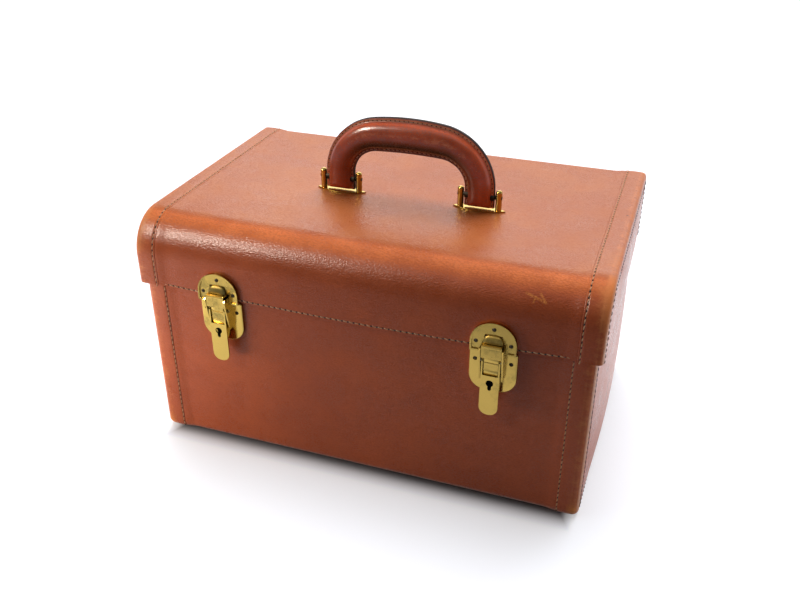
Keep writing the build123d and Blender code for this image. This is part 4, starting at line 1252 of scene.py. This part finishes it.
class VANITY_OT_panels(bpy.types.Operator):
    """Make the padded leather panels on the ends"""

    bl_idname = "vanity.panels"
    bl_label = "End panels"

    def execute(self, context):
        far, high = back - panel_inset, lid_top - panel_inset
        case_bends = {(-1, -1): least_round, (1, -1): least_round}
        lid_bends = {(-1, 1): lid_front_round - panel_inset, (1, 1): least_round}
        case_middle, lid_middle = ((case_front + back) / 2, case_top / 2), (0.0, (parting + lid_top) / 2)
        case_low, lid_low = (case_front + panel_inset, panel_inset), (lid_front + panel_inset, parting)
        for name, side in sides:
            for body, low, top, bends, half, thick, crown, middle in (
                ("case", case_low, (far, case_top), case_bends, case_half, case_pad, case_crown, case_middle),
                ("lid", lid_low, (far, high), lid_bends, lid_half, lid_pad, lid_crown, lid_middle),
            ):
                piece = f"{body}_{name}_end_panel"
                pad = end_panel(piece, body, low, top, bends, half - binding, thick, crown, middle, side)
        return {"FINISHED"}


class VANITY_OT_handle(bpy.types.Operator):
    """Make the leather grip, and the brass plates, posts and pins that hold it"""

    bl_idname = "vanity.handle"
    bl_label = "Handle"

    def execute(self, context):
        grip_half_piece("handle_leather_front", -1)
        grip_half_piece("handle_leather_back", 1)
        for node in ("handle_plate_left", "handle_plate_right", "handle_posts"):
            softened(node, "lid", brass("Handle brass", 0.3, 0.14), 0.0003)
        softened("handle_pins", "lid", dark_steel(), fine_edge)
        softened("handle_bushes", "handle", dark_steel(), fine_edge)
        return {"FINISHED"}


class VANITY_OT_stitches(bpy.types.Operator):
    """Sew the seams of the bindings, the skirt and the handle"""

    bl_idname = "vanity.stitches"
    bl_label = "Stitches"

    def execute(self, context):
        look = context.scene.case_stitches
        threads = [
            speckled_finish(name, 900.0, shade(tone, 0.5), shade(tone, 1.5), 0.6, texture=0.6)
            for name, tone in (("Waxed thread", look.thread), ("Dark thread", look.flange_thread))
        ]
        # The holes' dark finish is painted shade
        hole = speckled_finish("Needle hole shade", 1500.0, look.hole, shade(look.hole, 2.5), 0.9)
        sewn, edge_sewn = (stitch_tree(thread, hole) for thread in threads)
        sizes = {"Pitch": look.pitch, "Thread": look.thickness}
        edge_sizes = {"Pitch": look.pitch, "Thread": look.thickness * 1.5}
        grip_sizes = {"Pitch": look.pitch * 0.8, "Thread": look.thickness * 0.6}
        case_rows = [seam_row(case_line, case_half, case_seam, side) for _, side in sides]
        lid_rows = [skirt_row()] + [seam_row(lid_line, lid_half, lid_seam, side) for _, side in sides]
        case_edges = [flange_row(case_line, case_half, side) for _, side in sides]
        lid_edges = [flange_row(lid_line, lid_half, side) for _, side in sides]
        for name, rows, tree, size, body, slot in (
            ("case_stitches", case_rows, sewn, sizes, "case", "tan_leather"),
            ("case_edge_stitches", case_edges, edge_sewn, edge_sizes, "case", "tan_leather"),
            ("lid_stitches", lid_rows, sewn, sizes, "lid", "tan_leather"),
            ("lid_edge_stitches", lid_edges, edge_sewn, edge_sizes, "lid", "tan_leather"),
            ("handle_stitches", grip_rows(), sewn, grip_sizes, "handle", "handle_leather"),
        ):
            grown(name, *rows_joined(rows), tree, size, body)
        return {"FINISHED"}


class VANITY_OT_latches(bpy.types.Operator):
    """Finish the brass latches, locks and hinges"""

    bl_idname = "vanity.latches"
    bl_label = "Latches and hinges"

    def execute(self, context):
        bright, aged = brass("Rubbed brass", 0.3, 0.15), brass("Aged brass", 0.42, 0.2)
        for side, _ in sides:
            lever_body, hook_body = f"lever_{side}", f"hook_{side}"
            softened(f"latch_plate_{side}", "case", bright)
            # The catch plate's rounded rim gets the brighter brass: partly rubbing, partly a painted highlight
            softened(f"catch_plate_{side}", "lid", brass("Dark brass", 0.5, 0.2), 0.0008, rim=bright)
            catch_hood(side, brass("Dull brass", 0.72, 0.32))
            lever = softened(lever_body, lever_body, bright)
            softened(hook_body, hook_body, aged, 0.0)
            softened(f"link_pin_{side}", lever_body, steel(), fine_edge)
            # The lock cam seen through the keyhole gets the keyhole's painted shade
            softened(f"lock_cam_{side}", f"lock_cam_{side}", keyhole_shade_finish(), fine_edge)

            # The keyhole: its walls in the lever get painted shade, and a dark plate stands behind it as painted shade
            low, high = box_mm(lever_body)
            hook_low, hook_high = box_mm(hook_body)
            middle, face_y, face_z = (low[0] + high[0]) / 2, low[1], hook_low[2] - 1.2
            lever.data.materials.append(keyhole_shade_finish())
            for face in lever.data.polygons:
                x, y, z = face.center / MM
                if abs(x - middle) < 3.2 and face_y + 0.25 < y < face_y + 1.7 and face_z - 13 < z < face_z - 2.5:
                    face.material_index = 1
            plate = ((middle - 3.6, face_y + 4.4, face_z - 15.0), (middle + 3.6, face_y + 4.7, face_z - 0.4))
            rounded_blocks(f"keyhole_shade_{side}", [plate], lever_body, 0.05, keyhole_shade_finish())

            # The hook: two pressed bands, a block over its pin, and its rolled top
            pin_low, pin_high = box_mm(f"link_pin_{side}")
            pin_y, pin_z = (pin_low + pin_high)[1:] / 2
            strap_y, reach = face_y + 1.3, 4.9
            bands = [
                ((middle - reach, y_low, z_low), (middle + reach, y_high, z_high))
                for y_low, y_high, z_low, z_high in (
                    (strap_y - 0.25, strap_y + 0.3, face_z + 10.2, face_z + 13.8),
                    (strap_y - 0.25, strap_y + 0.3, face_z + 8.2, face_z + 9.8),
                    (pin_y - 2.25, pin_y - 1.0, pin_z - 3.15, pin_z + 0.4),
                )
            ]
            rounded_blocks(f"hook_bands_{side}", bands, hook_body, 0.2, bright)
            roll = (
                (hook_low[0] + 0.1, hook_low[1] - 0.25, hook_high[2] - 2.2),
                (hook_high[0] - 0.1, hook_low[1] + 2.25, hook_high[2] + 0.3),
            )
            rounded_blocks(f"hook_roll_{side}", [roll], hook_body, 1.2, brass("Rolled brass", 0.15, 0.4))
            softened(f"stay_arm_{side}", f"stay_arm_{side}", steel())
        for node, body, material, slot in (
            ("lever_pins", "case", steel(), "steel"),
            ("stay_pivots", "lid", steel(), "steel"),
            ("stay_studs", "case", steel(), "steel"),
            ("hinge_case_leaves", "case", aged, "brass"),
            ("hinge_lid_leaves", "lid", aged, "brass"),
            ("hinge_pins", "case", steel(), "steel"),
        ):
            softened(node, body, material, fine_edge)
        return {"FINISHED"}


class VANITY_OT_nails(bpy.types.Operator):
    """Drive the nails of the latches and the hinges"""

    bl_idname = "vanity.nails"
    bl_label = "Nail heads"

    def execute(self, context):
        look = context.scene.case_stitches
        tree = nail_tree(dark_steel())
        for node, body in (("case_nails", "case"), ("lid_nails", "lid")):
            places, faces = nail_places(node)
            piece = grown(f"{node}_shown", places, [], faces, tree, {"Width": look.nail, "Dome": look.dome}, body)
            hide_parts(node)
        return {"FINISHED"}


class VANITY_OT_inside(bpy.types.Operator):
    """Finish the boards, the lining, the floor pad and the mirror"""

    bl_idname = "vanity.inside"
    bl_label = "Lining and mirror"

    def execute(self, context):
        for node in (
            "case_bottom_board", "case_front_board", "case_back_board", "case_end_boards", "lid_front_board",
            "lid_corner_moulding", "lid_top_board", "lid_back_board", "lid_end_boards",
        ):
            dress(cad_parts[node], board_finish())
        for node in ("collar_front", "collar_back", "collar_left", "collar_right"):
            softened(node, "case", lining_cloth(), 0.0006)
        softened("mirror_frame", "lid", lining_cloth(), 0.0008)
        cushion("floor_pad", "case", 3.0, 1.4)
        lining = cushion("lid_lining", "lid", 0.4, 0.0)
        dress(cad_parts["mirror"], mirror_finish())
        dress(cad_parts["handle_core"], steel())
        return {"FINISHED"}


def floor_finish():
    """The floor: pale to the camera, with a painted contact shadow around the case, a painted reflection in the gloss,
    and its own tone in the bounce.
    """
    look = bpy.context.scene.case_stage

    def paint(tree):
        ray = tree.node("ShaderNodeLightPath")
        direct = ray["Is Camera Ray"]
        seen = tree.math("MAXIMUM", direct, tree.math("MAXIMUM", ray["Is Glossy Ray"], ray["Is Transmission Ray"]))
        at = tree.place()
        spot = tree.node("ShaderNodeSeparateXYZ", {0: at})
        x, y = spot["X"], spot["Y"]
        # Painted reflection: in the gloss the floor glows darker toward the front right and brighter toward the back
        # right
        painted_reflection = (x * 0.6 - y).spread(0.31, 0.4, 0.25, -0.35) + (x * 0.7 + y).spread(0.05, 0.3) * 0.6
        # How far a place is from the case's footprint, which counts for more beside it; near the footprint the floor's
        # colour and glow fall off as a painted contact shadow
        beside = (tree.math("ABSOLUTE", x) - (case_half - 11.0) * MM) * 1.8
        along = tree.math("ABSOLUTE", y - (case_front + back) / 2 * MM) - (back - case_front) / 2 * MM
        gap = tree.math("MAXIMUM", beside, along)
        shown = tree.mix(at.noise(3.0), shade(look.floor, 0.98), look.floor)
        # Painted contact shadow: the floor's colour darkens right at the case's footprint
        shown = tree.mix(gap.spread(-0.006, 0.007, 0.7, 0.0), shown, shade(look.floor, 0.05))
        # The camera's glow fades near the footprint as part of the painted contact shadow
        return {
            "Base Color": tree.mix(seen, look.bounce, shown), "Roughness": 0.8, "Specular IOR Level": 0.1,
            "Glow": direct * gap.spread(-0.004, 0.018, 0.0, 0.44) + (seen - direct) * painted_reflection,
        }

    return finish("Floor", paint)


def studio():
    """The room: white to the camera, a lit wall and ceiling in the case's gloss, and nearly dark otherwise."""
    world = bpy.data.worlds.new("Studio")
    world.use_nodes = True
    world.node_tree.nodes.clear()
    tree = Tree(world.node_tree)
    ray = tree.node("ShaderNodeLightPath")
    seen = (ray["Is Glossy Ray"] + ray["Is Transmission Ray"]).held()
    way = tree.node("ShaderNodeSeparateXYZ", {0: tree.node("ShaderNodeTexCoord", out="Generated")})
    depth, height = way["Y"], way["Z"]
    wall = height.spread(0.62, 0.48) * depth.spread(-0.3, 0.2)
    ceiling = height.spread(0.6, 0.75) * depth.spread(-0.15, -0.35)
    room = wall * 0.7 + 0.14 + ceiling * 0.9
    level = tree.math("MAXIMUM", seen * room + (1.0 - seen) * 0.02, ray["Is Camera Ray"])
    lit = tree.node("ShaderNodeBackground", {"Color": (1, 1, 1), "Strength": level})
    tree.node("ShaderNodeOutputWorld", {"Surface": lit})
    return world


def toward(start, end):
    """The turn of a light that stands at one place and faces another."""
    return (Vector(end) - Vector(start)).to_track_quat("-Z", "Y").to_euler()


def area_light(name, place, target, size, power, tone=(1, 1, 1), diffuse=True, glossy=True):
    """A soft light that faces a place, in millimetres."""
    lamp = bpy.data.lights.new(name, "AREA")
    lamp.shape, lamp.size, lamp.size_y = "RECTANGLE", size[0] * MM, size[1] * MM
    lamp.energy, lamp.color = power, tone
    made = place_object(name, lamp)
    made.location, made.rotation_euler = Vector(place) * MM, toward(place, target)
    made.visible_diffuse, made.visible_glossy = diffuse, glossy


class VANITY_OT_stage(bpy.types.Operator):
    """Set the floor, the light and the camera"""

    bl_idname = "vanity.stage"
    bl_label = "Stage"

    def execute(self, context):
        scene = context.scene
        look = scene.case_stage
        mesh = bpy.data.meshes.new("floor")
        reach = 4.0
        corners = [(-reach, -reach, 0), (reach, -reach, 0), (reach, reach, 0), (-reach, reach, 0)]
        mesh.from_pydata(corners, [], [(0, 1, 2, 3)])
        mesh.materials.append(floor_finish())
        place_object("floor", mesh)
        scene.world = studio()

        lamp = bpy.data.lights.new("Top light", "SUN")
        lamp.energy, lamp.angle = look.top, math.radians(50)
        top = place_object("Top light", lamp)
        top.rotation_euler = toward((0, 0, 0), (0.06, -0.36, -1))
        top.visible_glossy = False
        front = (-80, -90, 150)
        area_light("Back light", (0, 800, 720), (0, 0, 190), (1500, 400), look.back)
        area_light("Key light", (-410, -480, 615), front, (200, 80), look.key)
        warm, pale = (1, 0.86, 0.72), (1, 0.94, 0.8)
        area_light("Shine light", (-470, -480, 615), front, (180, 130), look.shine, warm, diffuse=False)
        area_light("Fill light", (-345, -235, 50), (-110, -60, 70), (200, 120), look.fill, pale, glossy=False)
        area_light("Side light", (600, -125, 95), (160, -60, 80), (120, 120), look.side, glossy=False)

        # Where the camera stands around its target: angles in radians, the rest in millimetres
        turn, rise, roll, away, target = 0.331, 0.5193, 0.0031, 726.81, Vector((-3.3, 0.39, 93.06))
        ahead = Vector((math.sin(turn) * math.cos(rise), -math.cos(turn) * math.cos(rise), math.sin(rise)))
        right = Vector((0, 0, 1)).cross(ahead).normalized()
        up = ahead.cross(right)
        c, s = math.cos(roll), math.sin(roll)
        right, up = c * right + s * up, c * up - s * right
        data = bpy.data.cameras.new("Camera")
        data.lens, data.sensor_width = look.lens, 36.0
        scene.camera = place_object("Camera", data)
        turned = Matrix((right, up, ahead)).transposed().to_4x4()
        scene.camera.matrix_world = Matrix.Translation((target + ahead * away) * MM) @ turned
        scene.view_settings.view_transform = "Standard"
        return {"FINISHED"}


class VANITY_PT_panel(bpy.types.Panel):
    """Lists the steps that dress the case"""

    bl_label = "Vanity case"
    bl_idname = "VANITY_PT_panel"
    bl_space_type = "VIEW_3D"
    bl_region_type = "UI"
    bl_category = "Vanity case"

    def draw(self, context):
        for group in looks:
            for name in group.__annotations__:
                self.layout.prop(getattr(context.scene, looks[group]), name)
        for step in steps:
            self.layout.operator(step.bl_idname)


looks = {
    LeatherLook: "case_leather",
    StitchLook: "case_stitches",
    MetalLook: "case_metal",
    LiningLook: "case_lining",
    StageLook: "case_stage",
}
steps = (
    VANITY_OT_covers,
    VANITY_OT_bindings,
    VANITY_OT_panels,
    VANITY_OT_handle,
    VANITY_OT_stitches,
    VANITY_OT_latches,
    VANITY_OT_nails,
    VANITY_OT_inside,
    VANITY_OT_stage,
)


def register():
    for group, name in looks.items():
        bpy.utils.register_class(group)
        setattr(bpy.types.Scene, name, bpy.props.PointerProperty(type=group))
    for step in (*steps, VANITY_PT_panel):
        bpy.utils.register_class(step)


def unregister():
    for step in (VANITY_PT_panel, *reversed(steps)):
        bpy.utils.unregister_class(step)
    for group, name in looks.items():
        delattr(bpy.types.Scene, name)
        bpy.utils.unregister_class(group)


def main():
    register()
    for step in steps:
        group, name = step.bl_idname.split(".")
        getattr(getattr(bpy.ops, group), name)()
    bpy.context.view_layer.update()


if __name__ == "__main__":
    main()
